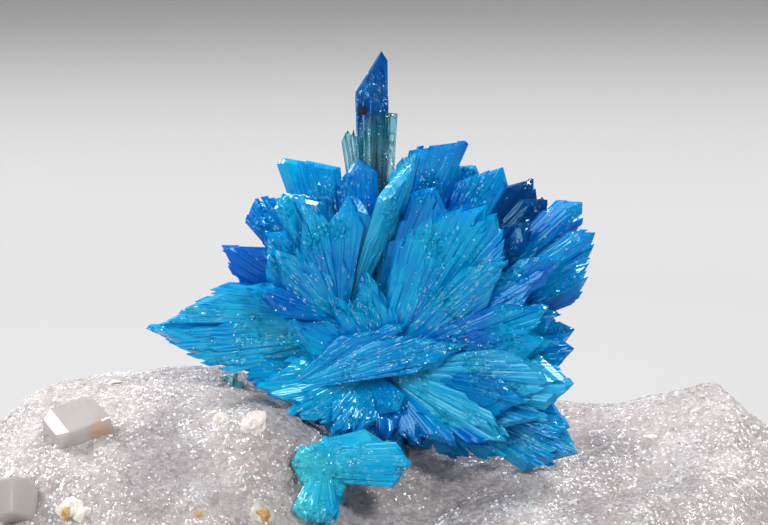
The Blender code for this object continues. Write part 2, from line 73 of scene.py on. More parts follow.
@dataclass(frozen=True)
class Value:
    """A socket's value inside a node tree, which can be reckoned with like a number."""

    tree: "Tree"
    socket: bpy.types.NodeSocket

    def __add__(self, other: Any) -> "Value":
        """Sum of two values."""
        return self.tree.reckon("ADD", self, other)

    def __radd__(self, other: Any) -> "Value":
        """Sum of two values."""
        return self.tree.reckon("ADD", other, self)

    def __sub__(self, other: Any) -> "Value":
        """Difference of two values."""
        return self.tree.reckon("SUBTRACT", self, other)

    def __rsub__(self, other: Any) -> "Value":
        """Difference of two values."""
        return self.tree.reckon("SUBTRACT", other, self)

    def __mul__(self, other: Any) -> "Value":
        """Product of two values."""
        return self.tree.reckon("MULTIPLY", self, other)

    def __rmul__(self, other: Any) -> "Value":
        """Product of two values."""
        return self.tree.reckon("MULTIPLY", self, other)

    def __truediv__(self, other: Any) -> "Value":
        """Quotient of two numbers."""
        return self.tree.reckon("DIVIDE", self, other)

    def __rtruediv__(self, other: Any) -> "Value":
        """Quotient of two numbers."""
        return self.tree.reckon("DIVIDE", other, self)


class Tree:
    """A node tree under construction. Each call adds one node and gives its output."""

    def __init__(self, name: str, kind: str = "GeometryNodeTree") -> None:
        """Makes an empty tree.

        Args:
            name: The tree's name.
            kind: GeometryNodeTree or ShaderNodeTree.
        """
        self.group = bpy.data.node_groups.new(name, kind)
        self.nodes = self.group.nodes
        self.entry = self.nodes.new("NodeGroupInput")
        self.exit = self.nodes.new("NodeGroupOutput")

    @classmethod
    def inside(cls, owner: bpy.types.NodeTree) -> "Tree":
        """Wraps a material's own tree.

        Args:
            owner: The material's node tree.

        Returns:
            A tree that adds its nodes to the material.
        """
        made = cls.__new__(cls)
        made.group = owner
        made.nodes = owner.nodes
        return made

    def takes(self, name: str, kind: str, default: Any = None) -> Value:
        """Adds a named input.

        Args:
            name: The input's name.
            kind: Float, Int, Vector, Geometry, Material or Color.
            default: Its value where nothing else is set.

        Returns:
            The input's value inside the tree.
        """
        made = self.group.interface.new_socket(name, in_out="INPUT", socket_type=f"NodeSocket{kind}")
        if default is not None:
            made.default_value = default
        return Value(self, self.entry.outputs[name])

    def gives(self, name: str, kind: str, value: Value) -> None:
        """Adds a named output.

        Args:
            name: The output's name.
            kind: Float, Vector, Geometry or Color.
            value: What comes out.
        """
        self.group.interface.new_socket(name, in_out="OUTPUT", socket_type=f"NodeSocket{kind}")
        self.group.links.new(value.socket, self.exit.inputs[name])

    def add(self, kind: str, inputs: dict[Any, Any] | None = None, out: Any = 0, **settings: Any) -> Value:
        """Adds one node.

        Args:
            kind: The node's type.
            inputs: Its inputs by name or number: values, numbers or names.
            out: The output to give, by name or number.
            **settings: The node's own settings.

        Returns:
            The output.
        """
        node = self.nodes.new(kind)
        for name, value in settings.items():
            setattr(node, name, value)
        for key, value in (inputs or {}).items():
            self.plug(self.socket(node.inputs, key), value)
        return Value(self, self.socket(node.outputs, out))

    @staticmethod
    def socket(sockets: Any, key: Any) -> bpy.types.NodeSocket:
        """Finds a socket.

        Args:
            sockets: A node's inputs or outputs.
            key: A number, or the name of one that is in use.

        Returns:
            The socket.
        """
        if isinstance(key, int):
            return sockets[key]
        return next(each for each in sockets if each.name == key and each.enabled)

    def plug(self, socket: bpy.types.NodeSocket, value: Any) -> None:
        """Links a value to an input, or sets the input to a plain one.

        Args:
            socket: The input.
            value: A Value, number, tuple or name.
        """
        if isinstance(value, Value):
            self.group.links.new(value.socket, socket)
        else:
            socket.default_value = value

    def reckon(self, operation: str, *parts: Any) -> Value:
        """Adds one step of arithmetic, on numbers or on vectors.

        Args:
            operation: The Math or Vector Math operation.
            *parts: The values or constants that it works on.

        Returns:
            The result.
        """
        def is_vector(part: Any) -> bool:
            """Whether this part is a vector."""
            return part.socket.type == "VECTOR" if isinstance(part, Value) else hasattr(part, "__len__")

        if not any(is_vector(part) for part in parts):
            return self.add("ShaderNodeMath", dict(enumerate(parts)), operation=operation)
        if operation == "MULTIPLY" and not all(is_vector(part) for part in parts):
            whole, share = sorted(parts, key=is_vector, reverse=True)
            return self.add("ShaderNodeVectorMath", {"Vector": whole, "Scale": share}, operation="SCALE")
        return self.add("ShaderNodeVectorMath", dict(enumerate(parts)), operation=operation)

    def length(self, vector: Value) -> Value:
        """Length of a vector."""
        return self.add("ShaderNodeVectorMath", {0: vector}, out="Value", operation="LENGTH")

    def unit(self, vector: Value) -> Value:
        """A vector's direction, one long."""
        return self.add("ShaderNodeVectorMath", {0: vector}, operation="NORMALIZE")

    def split(self, vector: Value) -> tuple[Value, Value, Value]:
        """The three parts of a vector."""
        node = self.add("ShaderNodeSeparateXYZ", {0: vector}).socket.node
        return tuple(Value(self, each) for each in node.outputs)

    def joined(self, x: Any, y: Any, z: Any) -> Value:
        """A vector of three parts."""
        return self.add("ShaderNodeCombineXYZ", {0: x, 1: y, 2: z})

    def dot(self, first: Any, second: Any) -> Value:
        """Dot product of two vectors."""
        return self.add("ShaderNodeVectorMath", {0: first, 1: second}, out="Value", operation="DOT_PRODUCT")

    def place(self) -> Value:
        """Where a point of the surface is, on Object coordinates in metres."""
        return self.add("ShaderNodeTexCoord", out="Object")

    def clouds(self, spot: Value, scale: Any, detail: float) -> Value:
        """Soft noise, mostly near a half."""
        return self.add("ShaderNodeTexNoise", {"Vector": spot, "Scale": scale, "Detail": detail}, out="Fac")

    def blend(self, share: Any, first: Any, second: Any) -> Value:
        """Mixes two colours.

        Args:
            share: How much of the second.
            first: The first colour, plain ones as red, green and blue.
            second: The second colour.

        Returns:
            The mixed colour.
        """
        first, second = (each if isinstance(each, Value) else (*each, 1.0) for each in (first, second))
        inputs = {"Factor": share, "A": first, "B": second}
        return self.add("ShaderNodeMix", inputs, out="Result", data_type="RGBA")

    def ranged(self, value: Any, low: float, high: float, to_low: float = 0.0, to_high: float = 1.0) -> Value:
        """Maps a number from one range to another, and keeps it there.

        Args:
            value: The number.
            low: Start of its range.
            high: End of its range.
            to_low: What its start becomes.
            to_high: What its end becomes.

        Returns:
            The mapped number.
        """
        inputs = {"Value": value, "From Min": low, "From Max": high, "To Min": to_low, "To Max": to_high}
        return self.add("ShaderNodeMapRange", inputs, out="Result")

    def named(self, name: str, kind: str = "FLOAT") -> Value:
        """A named attribute of the geometry."""
        return self.add("GeometryNodeInputNamedAttribute", {"Name": name}, out="Attribute", data_type=kind)

    def keep(self, geometry: Value, name: str, value: Any, kind: str = "FLOAT", domain: str = "POINT") -> Value:
        """Stores a named attribute.

        Args:
            geometry: What to store it on.
            name: The attribute's name.
            value: The attribute's value.
            kind: Its data type.
            domain: Where it is stored.

        Returns:
            The geometry with the attribute.
        """
        inputs = {"Geometry": geometry, "Name": name, "Value": value}
        kept = {"data_type": kind, "domain": domain}
        return self.add("GeometryNodeStoreNamedAttribute", inputs, out="Geometry", **kept)

    def chance(self, low: float, high: float, seed: Any) -> Value:
        """A random number for each element.

        Args:
            low: The lowest.
            high: The highest.
            seed: Which series of numbers.

        Returns:
            The number.
        """
        inputs = {"Min": low, "Max": high, "Seed": seed}
        return self.add("FunctionNodeRandomValue", inputs, out="Value", data_type="FLOAT")

    def scattered(self, ground: Value, free: Value, density: Value, seed: Value) -> tuple[Value, Value]:
        """Scatters random points over a surface.

        Args:
            ground: The surface.
            free: Where it may carry points.
            density: Points per square metre.
            seed: Which series of numbers.

        Returns:
            The points, and the surface's normal at each.
        """
        inputs = {"Mesh": ground, "Selection": free, "Density": density, "Seed": seed}
        spots = self.add("GeometryNodeDistributePointsOnFaces", inputs, out="Points", distribute_method="RANDOM")
        return spots, Value(self, spots.socket.node.outputs["Normal"])

    def tipped(self, outward: Value, most: float, seed: Value) -> Value:
        """A turn that points Z outwards, tipped at random.

        Args:
            outward: The surface's normal.
            most: How far it may tip, as a share of the normal.
            seed: Which series of numbers.

        Returns:
            The rotation.
        """
        inputs = {"Min": (-most,) * 3, "Max": (most,) * 3, "Seed": seed}
        wild = self.add("FunctionNodeRandomValue", inputs, out="Value", data_type="FLOAT_VECTOR")
        return self.add("FunctionNodeAlignRotationToVector", {"Vector": outward + wild}, axis="Z")

    def cone(self, corners: int, top: float, depth: float, sunk: float) -> Value:
        """A small cone or prism, one wide at its foot.

        Args:
            corners: How many sides it has.
            top: Its radius at the top.
            depth: Its height.
            sunk: How far its middle lies below the surface.

        Returns:
            The mesh.
        """
        sizes = {"Radius Top": top, "Radius Bottom": 0.5, "Depth": depth}
        inputs = {"Vertices": corners, "Side Segments": 1, **sizes}
        made = self.add("GeometryNodeMeshCone", inputs, out="Mesh", fill_type="TRIANGLE_FAN")
        inputs = {"Geometry": made, "Translation": (0.0, 0.0, -sunk)}
        return self.add("GeometryNodeTransform", inputs, out="Geometry")

    def planted(self, spots: Value, shape: Value, **inputs: Value) -> Value:
        """Puts a copy of a shape at each point, as plain mesh.

        Args:
            spots: The points.
            shape: The shape.
            **inputs: Its Rotation and Scale.

        Returns:
            The mesh.
        """
        inputs = {"Points": spots, "Instance": shape, **inputs}
        placed = self.add("GeometryNodeInstanceOnPoints", inputs, out="Instances")
        return self.add("GeometryNodeRealizeInstances", {"Geometry": placed}, out="Geometry")

    def finished(self, geometry: Value, finish: Value, smooth: bool = False) -> "Tree":
        """Ends the tree: shades the geometry, gives it its material and puts it out.

        Args:
            geometry: The geometry.
            finish: Its material.
            smooth: Whether it is shaded smooth.

        Returns:
            This tree.
        """
        inputs = {"Geometry": geometry, "Shade Smooth": smooth}
        shaded = self.add("GeometryNodeSetShadeSmooth", inputs, out="Geometry")
        inputs = {"Geometry": shaded, "Material": finish}
        self.gives("Geometry", "Geometry", self.add("GeometryNodeSetMaterial", inputs, out="Geometry"))
        return self


def put(name: str, data: bpy.types.ID) -> bpy.types.Object:
    """Puts a new object in the scene.

    Args:
        name: The object's name.
        data: Its mesh, lamp or camera.

    Returns:
        The object.
    """
    made = bpy.data.objects.new(name, data)
    bpy.context.scene.collection.objects.link(made)
    return made


def grown(name: str, seed_mesh: bpy.types.Object, tree: Tree, settings: dict[str, Any]) -> bpy.types.Object:
    """Runs a Geometry Nodes tree on an object and gives the plain mesh that comes out.

    Args:
        name: The new piece's name.
        seed_mesh: The object that the tree works on, which is used up.
        tree: The tree.
        settings: Values for the tree's named inputs.

    Returns:
        The piece, with no modifier on it.
    """
    if seed_mesh.name not in bpy.context.scene.collection.objects:
        bpy.context.scene.collection.objects.link(seed_mesh)
    modifier = seed_mesh.modifiers.new(tree.group.name, "NODES")
    modifier.node_group = tree.group
    for item in tree.group.interface.items_tree:
        if item.in_out == "INPUT" and item.name in settings:
            modifier[item.identifier] = settings[item.name]
    scene_now = bpy.context.evaluated_depsgraph_get()
    ready = seed_mesh.evaluated_get(scene_now)
    mesh = bpy.data.meshes.new_from_object(ready, preserve_all_data_layers=True, depsgraph=scene_now)
    made = put(name, mesh)
    mesh.name = name
    bpy.data.objects.remove(seed_mesh)
    return made


# Blades


@dataclass(frozen=True)
class Blade:
    """A sheaf of laths that lie side by side and spread a little towards their tips, in millimetres.

    bearing and lean aim it: degrees anticlockwise from the right in the plane that faces the
    viewer, and degrees out of that plane towards the viewer. reach is from the heart to the tip.
    apex says where across the width the tip stands, from -1 to 1 with bearing increasing, and
    falls how steeply the end drops from it on those two sides. roll turns the broad face. The
    last field makes its blue darker below zero and lighter above: partly the blue's own depth, partly
    painted shade on blades that lie in shadow and painted light on blades that catch the light.
    """

    heart: str
    bearing: float
    reach: float
    width: float
    lean: float = 0.0
    apex: float = 0.0
    falls: tuple[float, float] = (1.3, 1.3)
    thickness: float = 0.55
    roll: float = 0.0
    root: float = 0.42
    tone: float = 0.0

    def start(self) -> Vector:
        """Where the blade grows from, in millimetres.

        Returns:
            The place.
        """
        if self.heart == "small":
            return SMALL_MIDDLE
        steps = zip(photo_axes(), HEARTS[self.heart])
        return SPRAY_MIDDLE + sum((axis * step for axis, step in steps), Vector())

    def frame(self) -> tuple[Vector, Vector, Vector]:
        """Axis, across (the way bearing increases) and the broad face's normal.

        Returns:
            The three directions, each one long.
        """
        axis = aim(self.bearing, self.lean)
        across = aim(self.bearing + 90, 0)
        turned = Matrix.Rotation(math.radians(self.roll), 3, axis)
        return axis, turned @ across, turned @ axis.cross(across).normalized()


def photo_axes() -> tuple[Vector, Vector, Vector]:
    """Right, up and towards the viewer, for one who looks down at the specimen by VIEW_TILT.

    Returns:
        The three directions.
    """
    right = Vector((1, 0, 0))
    up = Vector((0, math.sin(VIEW_TILT), math.cos(VIEW_TILT)))
    return right, up, right.cross(up)


def aim(bearing: float, lean: float) -> Vector:
    """The unit direction of a blade.

    Args:
        bearing: Degrees in the plane that faces the viewer.
        lean: Degrees out of it.

    Returns:
        The direction.
    """
    right, up, towards = photo_axes()
    turn, out = math.radians(bearing), math.radians(lean)
    flat = right * math.cos(turn) + up * math.sin(turn)
    return flat * math.cos(out) + towards * math.sin(out)


WEST_BLADES = (
    Blade("left", 181, 6.75, 3.1, lean=4, apex=0.06, falls=(1.9, 1.9), thickness=1.0, root=0.62, tone=0.9),
    Blade("left", 160, 4.3, 1.3, lean=-6, apex=0.6, falls=(0.9, 1.2), tone=0.3),
    Blade("left", 145.5, 4.95, 1.45, lean=-2, apex=0.3, falls=(1.4, 1.6), roll=-12, tone=-0.6),
    Blade("left", 125, 5.25, 1.4, lean=-4, apex=0.1, falls=(0.4, 0.6), thickness=0.7, tone=-0.5),
    Blade("left", 103, 5.95, 1.85, lean=-3, apex=0.7, falls=(0.45, 0.8), thickness=0.7, tone=0.3),
    Blade("left", 133, 4.3, 1.5, lean=20, apex=-0.4, falls=(0.8, 0.9), roll=14, tone=0.3),
    Blade("left", 156, 3.7, 1.3, lean=17, apex=0.3, thickness=0.6, roll=-18, tone=0.3),
    Blade("left", 112, 5.1, 1.3, lean=15, apex=0.4, falls=(0.7, 0.7), roll=20, tone=0.5),
    Blade("left", 86, 4.7, 1.0, lean=18, apex=-0.2, falls=(1.0, 1.0), roll=-35, tone=-0.3),
    Blade("left", 70, 6.1, 0.9, lean=22, apex=-0.6, falls=(1.2, 1.5), roll=48, tone=1.05),
)
SPIRE_BLADE = (
    Blade("top", 90.8, 9.35, 1.0, apex=-0.62, falls=(4.0, 1.55), thickness=0.42, root=0.9, tone=-0.8),
)
SPIRE_COLUMNS = (
    Blade("top", 87.5, 7.3, 0.84, lean=1, falls=(0.08, 0.08), thickness=0.5, root=0.9),
    Blade("top", 94.3, 7.7, 0.86, lean=-2, apex=-0.9, falls=(1.0, 1.9), thickness=0.45, root=0.9),
    Blade("top", 98.6, 6.8, 0.32, lean=-3, apex=-0.5, falls=(1.0, 1.6), thickness=0.2, root=0.9),
)
TOP_BLADES = (
    Blade("top", 97, 5.85, 1.05, lean=7, apex=-0.2, falls=(0.35, 0.9), thickness=0.5, tone=-0.6),
    Blade("top", 80, 6.2, 0.95, lean=10, apex=-0.7, falls=(0.4, 1.2), roll=38, tone=1.0),
    Blade("top", 71, 7.0, 1.5, lean=6, apex=-0.95, falls=(1.6, 0.5), thickness=0.7, tone=-0.2),
    Blade("top", 61, 6.5, 0.9, lean=-4, apex=-0.5, falls=(1.6, 0.7)),
    Blade("top", 66, 5.5, 1.5, lean=20, apex=0.2, falls=(0.8, 0.8), roll=-14),
)
EAST_BLADES = (
    Blade("right", 63.5, 7.95, 1.4, lean=2, apex=-0.5, falls=(1.0, 1.1), thickness=0.7),
    Blade("right", 53.5, 8.3, 1.05, lean=-10, apex=-0.1, falls=(1.0, 1.3), tone=-1.7),
    Blade("right", 48, 7.95, 0.9, lean=-2, falls=(0.9, 1.1), roll=24, tone=-1.7),
    Blade("right", 42.5, 8.6, 0.85, lean=2, apex=-0.4, falls=(1.5, 0.9), roll=-20, tone=-0.4),
    Blade("right", 39, 8.5, 0.6, lean=-8, apex=-0.4, falls=(1.5, 1.2), roll=30, tone=-0.5),
    Blade("right", 35, 8.35, 0.75, lean=5, apex=-0.3, falls=(1.6, 1.2), roll=-28, tone=0.1),
    Blade("right", 31.5, 8.15, 0.65, lean=-3, apex=0.1, falls=(1.4, 1.4), roll=16, tone=-0.4),
    Blade("right", 28.3, 7.9, 0.75, lean=8, apex=0.2, falls=(1.4, 1.4), roll=-24, tone=-0.1),
    Blade("right", 24.5, 7.45, 0.85, lean=-2, apex=0.3, falls=(1.2, 1.6), roll=20, tone=-0.3),
    Blade("right", 49, 7.0, 1.4, lean=8, apex=-0.4, falls=(1.6, 1.2), roll=-16, tone=-1.5),
    Blade("right", 34, 7.2, 1.3, lean=16, apex=0.2, falls=(1.6, 1.6), roll=22, tone=0.3),
    Blade("right", 21, 6.3, 1.1, lean=14, apex=-0.2, roll=-22),
    Blade("right", 57, 6.6, 1.2, lean=16, apex=-0.3, falls=(1.0, 0.9), roll=18),
    Blade("right", 15.3, 6.45, 1.3, lean=4, apex=-0.4, falls=(1.2, 1.0), thickness=0.6),
    Blade("right", 7, 6.3, 0.95, lean=10, apex=0.1, falls=(1.1, 1.3), roll=-18),
    Blade("right", 12, 5.9, 1.5, lean=25, apex=0.1, roll=16),
    Blade("right", -3, 6.5, 1.7, lean=20, apex=-0.1, falls=(1.0, 1.2), thickness=0.7, tone=0.9),
    Blade("right", -15, 6.5, 1.35, lean=11, apex=-0.3, falls=(0.9, 1.1), roll=-14, tone=0.5),
    Blade("right", -26, 6.9, 1.7, lean=6, apex=0.45, falls=(0.9, 1.2), thickness=1.1, tone=0.7),
    Blade("right", -12, 5.3, 1.3, lean=30, apex=0.2, roll=24, tone=0.3),
    Blade("right", -37, 4.8, 1.0, lean=-2, apex=0.2, falls=(1.0, 1.0), roll=20, tone=-0.5),
    Blade("right", -48, 4.0, 0.9, lean=-8, falls=(1.1, 1.1), roll=-20, tone=-0.8),
    Blade("right", -62, 3.0, 1.0, lean=-8, falls=(0.8, 0.8), tone=-0.8),
    Blade("right", -32, 4.6, 1.2, lean=24, apex=-0.2, roll=-20),
)
FRONT_BLADES = (
    Blade("sill", 18, 6.3, 1.6, lean=3, apex=-0.5, falls=(1.6, 2.4), thickness=0.8, roll=-6, root=0.14, tone=0.3),
    Blade("sill", 29, 4.6, 1.4, lean=1, apex=-0.2, falls=(2.0, 2.0), thickness=0.6, roll=10, root=0.2),
    Blade("crown", 132, 3.4, 1.7, lean=18, apex=0.1, falls=(1.6, 1.6), roll=-10, root=0.35, tone=0.6),
    Blade("crown", 109, 4.2, 1.5, lean=14, apex=-0.2, falls=(1.4, 1.8), roll=12, root=0.35, tone=0.2),
    Blade("crown", 158, 3.0, 1.4, lean=16, apex=0.2, falls=(1.6, 1.6), roll=14, root=0.35, tone=-0.4),
    Blade("crown", 88, 4.3, 1.1, lean=14, apex=-0.2, falls=(1.8, 1.8), roll=-20, root=0.35, tone=-0.3),
    Blade("front", 61, 6.7, 2.2, lean=11, apex=-0.3, falls=(1.5, 1.0), thickness=0.8, roll=8, root=0.5),
    Blade("front", 73, 5.6, 1.4, lean=13, apex=-0.2, falls=(2.0, 1.6), roll=-12, tone=0.3),
    Blade("front", 41, 5.9, 1.5, lean=18, apex=0.1, falls=(1.6, 1.6), roll=14, tone=0.6),
    Blade("front", 50, 6.4, 1.6, lean=9, apex=-0.2, falls=(1.6, 1.6), roll=-10, tone=-0.3),
    Blade("front", 30, 6.6, 1.5, lean=13, apex=0.2, falls=(1.8, 1.6), roll=-14, tone=-0.2),
    Blade("front", 21, 6.2, 1.4, lean=17, apex=-0.1, falls=(1.8, 1.8), roll=10, tone=0.1),
    Blade("front", 10, 6.1, 1.4, lean=14, apex=0.1, falls=(1.6, 1.6), roll=-12, tone=-0.1),
    Blade("front", -2.5, 6.1, 1.9, lean=17, apex=-0.2, falls=(1.5, 1.2), thickness=0.8, roll=6, tone=1.1),
    Blade("front", -16, 6.0, 1.5, lean=12, apex=0.1, falls=(1.6, 1.6), roll=-12, tone=0.6),
    Blade("front", -29, 5.0, 1.5, lean=18, apex=0.1, falls=(1.6, 1.6), roll=14, tone=1.1),
    Blade("front", -45, 3.7, 1.2, lean=16, falls=(1.6, 1.6), roll=-16, tone=-0.4),
    Blade("front", -62, 2.9, 1.1, lean=14, falls=(1.6, 1.6), roll=12, tone=-0.6),
    Blade("front", -84, 2.5, 1.1, lean=18, falls=(1.2, 1.2), roll=-10, root=0.5, tone=-0.2),
    Blade("front", -112, 2.7, 1.3, lean=22, falls=(1.4, 1.4), root=0.6, tone=0.2),
    Blade("front", 233, 3.0, 1.5, lean=20, falls=(1.4, 1.4), root=0.6, roll=8, tone=0.4),
    Blade("front", 206, 3.7, 1.6, lean=16, falls=(1.6, 1.6), root=0.6, roll=-8, tone=0.5),
    Blade("front", 186, 4.4, 1.6, lean=15, apex=0.2, falls=(1.6, 1.6), root=0.6, roll=10, tone=0.5),
    Blade("front", 98, 3.6, 1.7, lean=21, apex=0.2, falls=(1.8, 1.8), root=0.6, tone=-0.2),
    Blade("front", 124, 3.1, 1.7, lean=20, falls=(1.6, 1.6), root=0.7, roll=-8, tone=0.1),
    Blade("front", 152, 3.7, 1.7, lean=18, falls=(1.6, 1.6), root=0.7, roll=8, tone=0.1),
)
LOW_BLADES = (
    Blade("low", -171, 3.2, 1.2, lean=12, apex=0.3, falls=(1.2, 0.9), thickness=0.6),
    Blade("low", -178, 4.1, 1.2, lean=-4, apex=0.1, falls=(0.7, 0.9), thickness=0.7, tone=-0.2),
    Blade("low", -160, 2.7, 1.0, lean=4, falls=(0.8, 0.8)),
    Blade("low", -138, 2.1, 1.0, lean=14, falls=(0.9, 0.9)),
    Blade("low", -116, 2.6, 1.0, lean=8, falls=(0.6, 0.6), thickness=0.7, root=0.8),
    Blade("low", -96, 3.6, 1.1, lean=6, falls=(0.5, 0.5), thickness=0.9, root=0.8),
    Blade("low", -78, 3.6, 1.1, lean=-8, falls=(0.5, 0.5), thickness=0.9, root=0.8),
    Blade("low", -104, 3.6, 1.0, lean=-24, falls=(0.6, 0.6), thickness=0.8, roll=20, root=0.8),
    Blade("low", -66, 3.4, 1.0, lean=-30, falls=(0.6, 0.6), thickness=0.8, roll=-20, root=0.8),
    Blade("low", -88, 3.4, 1.0, lean=-48, falls=(0.6, 0.6), thickness=0.8, roll=40, root=0.8),
    Blade("low", -34, 4.3, 1.4, lean=-44, apex=0.2, thickness=0.8, roll=20, root=0.6),
    Blade("low", -8, 5.0, 1.3, lean=-50, apex=-0.3, thickness=0.8, roll=-15, root=0.6),
    Blade("low", -146, 4.0, 1.4, lean=-42, apex=0.1, thickness=0.8, roll=-25, root=0.6),
    Blade("low", -172, 4.4, 1.3, lean=-52, apex=-0.2, thickness=0.8, roll=15, root=0.6),
    Blade("low", -100, 3.9, 1.3, lean=-66, apex=0.3, thickness=0.8, root=0.6),
    Blade("right", 172, 4.1, 1.7, lean=-72, apex=0.3, thickness=0.9, roll=15, root=0.7),
    Blade("low", -52, 2.0, 0.9, lean=34, falls=(0.6, 0.6), root=0.7),
)
SMALL_BLADES = (
    Blade("small", 0, 2.95, 1.35, lean=8, apex=0.1, falls=(0.7, 0.8), thickness=0.8, root=0.95),
    Blade("small", 12, 2.6, 1.0, lean=2, apex=-0.3, falls=(0.4, 1.0), thickness=0.7, root=0.95),
    Blade("small", 42, 1.0, 0.9, lean=8, falls=(0.5, 0.5), thickness=0.7, root=0.9),
    Blade("small", 120, 0.8, 0.8, lean=14, falls=(0.5, 0.5), thickness=0.6),
    Blade("small", 178, 1.1, 1.0, lean=8, falls=(0.5, 0.5), thickness=0.7, root=0.9, tone=0.5),
    Blade("small", -138, 1.1, 0.7, lean=18, falls=(0.8, 0.8), roll=20),
    Blade("small", -110, 2.25, 0.6, lean=32, apex=0.2, falls=(0.5, 0.8), root=0.7),
    Blade("small", -96, 2.35, 0.6, lean=36, falls=(0.5, 0.6), roll=-24, root=0.7),
    Blade("small", -84, 2.2, 0.6, lean=30, apex=-0.2, falls=(0.5, 0.8), roll=32, root=0.7),
    Blade("small", -66, 1.3, 0.6, lean=16, falls=(0.8, 0.8), roll=-20),
    Blade("small", -84, 2.2, 0.9, lean=-24, falls=(0.6, 0.6), thickness=0.7, root=0.9),
)


@dataclass(frozen=True)
class FarSide:
    """The rule that spreads blades over the half of the spray that faces away.

    reaches are by heart, and hidden is how far a blade of that heart may reach before it shows past
    the front. A blade that aims lower than lowest_aim is left out, and one lower than low_aim is
    shortened by low_reach.
    """

    count: int = 37
    reaches: dict[str, tuple[float, float]] = field(
        default_factory=lambda: {"left": (4.6, 5.6), "top": (5.2, 6.8), "right": (5.6, 7.6)}
    )
    hidden: dict[str, float] = field(default_factory=lambda: {"left": 4.1, "top": 5.4, "right": 6.2})
    widths: tuple[float, float] = (1.1, 1.7)
    leans: tuple[float, float] = (-14, -84)
    crowding: float = 1.15
    first_bearing: float = 20
    lowest_aim: float = -0.25
    low_aim: float = 0.15
    low_reach: float = 0.82

    @staticmethod
    def heart(bearing: float) -> str:
        """Chooses the heart that a blade grows from.

        Args:
            bearing: The blade's bearing in degrees.

        Returns:
            The heart's name.
        """
        if 85 < bearing < 230:
            return "left"
        return "top" if 55 < bearing <= 85 else "right"

    def blades(self) -> list[Blade]:
        """The far side's blades, by the golden angle, without those that would go down.

        Returns:
            The blades.
        """
        chance = random.Random(11)
        blades = []
        for number in range(self.count):
            share = (number + 0.5) / self.count
            lean = self.leans[0] + (self.leans[1] - self.leans[0]) * share**self.crowding
            bearing = (number * GOLDEN_ANGLE + self.first_bearing) % 360
            heart = self.heart(bearing)
            hidden = self.hidden[heart] / math.cos(math.radians(lean))
            reach = min(chance.uniform(*self.reaches[heart]), hidden)
            width, apex, roll = chance.uniform(*self.widths), chance.uniform(-0.5, 0.5), chance.uniform(-35, 35)
            low = aim(bearing, lean).z
            if low < self.lowest_aim:
                continue
            reach *= self.low_reach if low < self.low_aim else 1
            shape = {"lean": lean, "apex": apex, "falls": (1.6, 1.6), "thickness": 0.7, "roll": roll, "root": 0.6}
            blades.append(Blade(heart, bearing, reach, width, **shape))
        return blades


def blade_points(blades: Iterable[Blade]) -> bpy.types.Object:
    """One vertex for each blade, with the blade's sizes and directions as attributes, in metres.

    Args:
        blades: The blades.

    Returns:
        An object whose mesh is those vertices.
    """
    blades = list(blades)
    mesh = bpy.data.meshes.new("blade points")
    mesh.from_pydata([blade.start() * MM for blade in blades], [], [])
    frames = [blade.frame() for blade in blades]
    vectors = {name: [each[number] for each in frames] for number, name in enumerate(("axis", "across", "normal"))}
    numbers = {name: [getattr(blade, name) * MM for blade in blades] for name in ("reach", "width", "thickness")}
    numbers |= {name: [getattr(blade, name) for blade in blades] for name in ("apex", "root", "tone")}
    numbers |= {f"fall_{name}": [blade.falls[side] for blade in blades] for side, name in enumerate(("low", "high"))}
    for name, values in vectors.items():
        kept = mesh.attributes.new(name, "FLOAT_VECTOR", "POINT")
        kept.data.foreach_set("vector", [part for value in values for part in value])
    for name, values in numbers.items():
        mesh.attributes.new(name, "FLOAT", "POINT").data.foreach_set("value", values)
    return bpy.data.objects.new("blade points", mesh)


EDGE_THINNING = 0.45
FACE_DEPTH = 0.47
ROOT_SPREAD = 0.8
FALL_SHARE = 0.85
END_BEVEL = 0.7
CHART_SPACING = 7.0


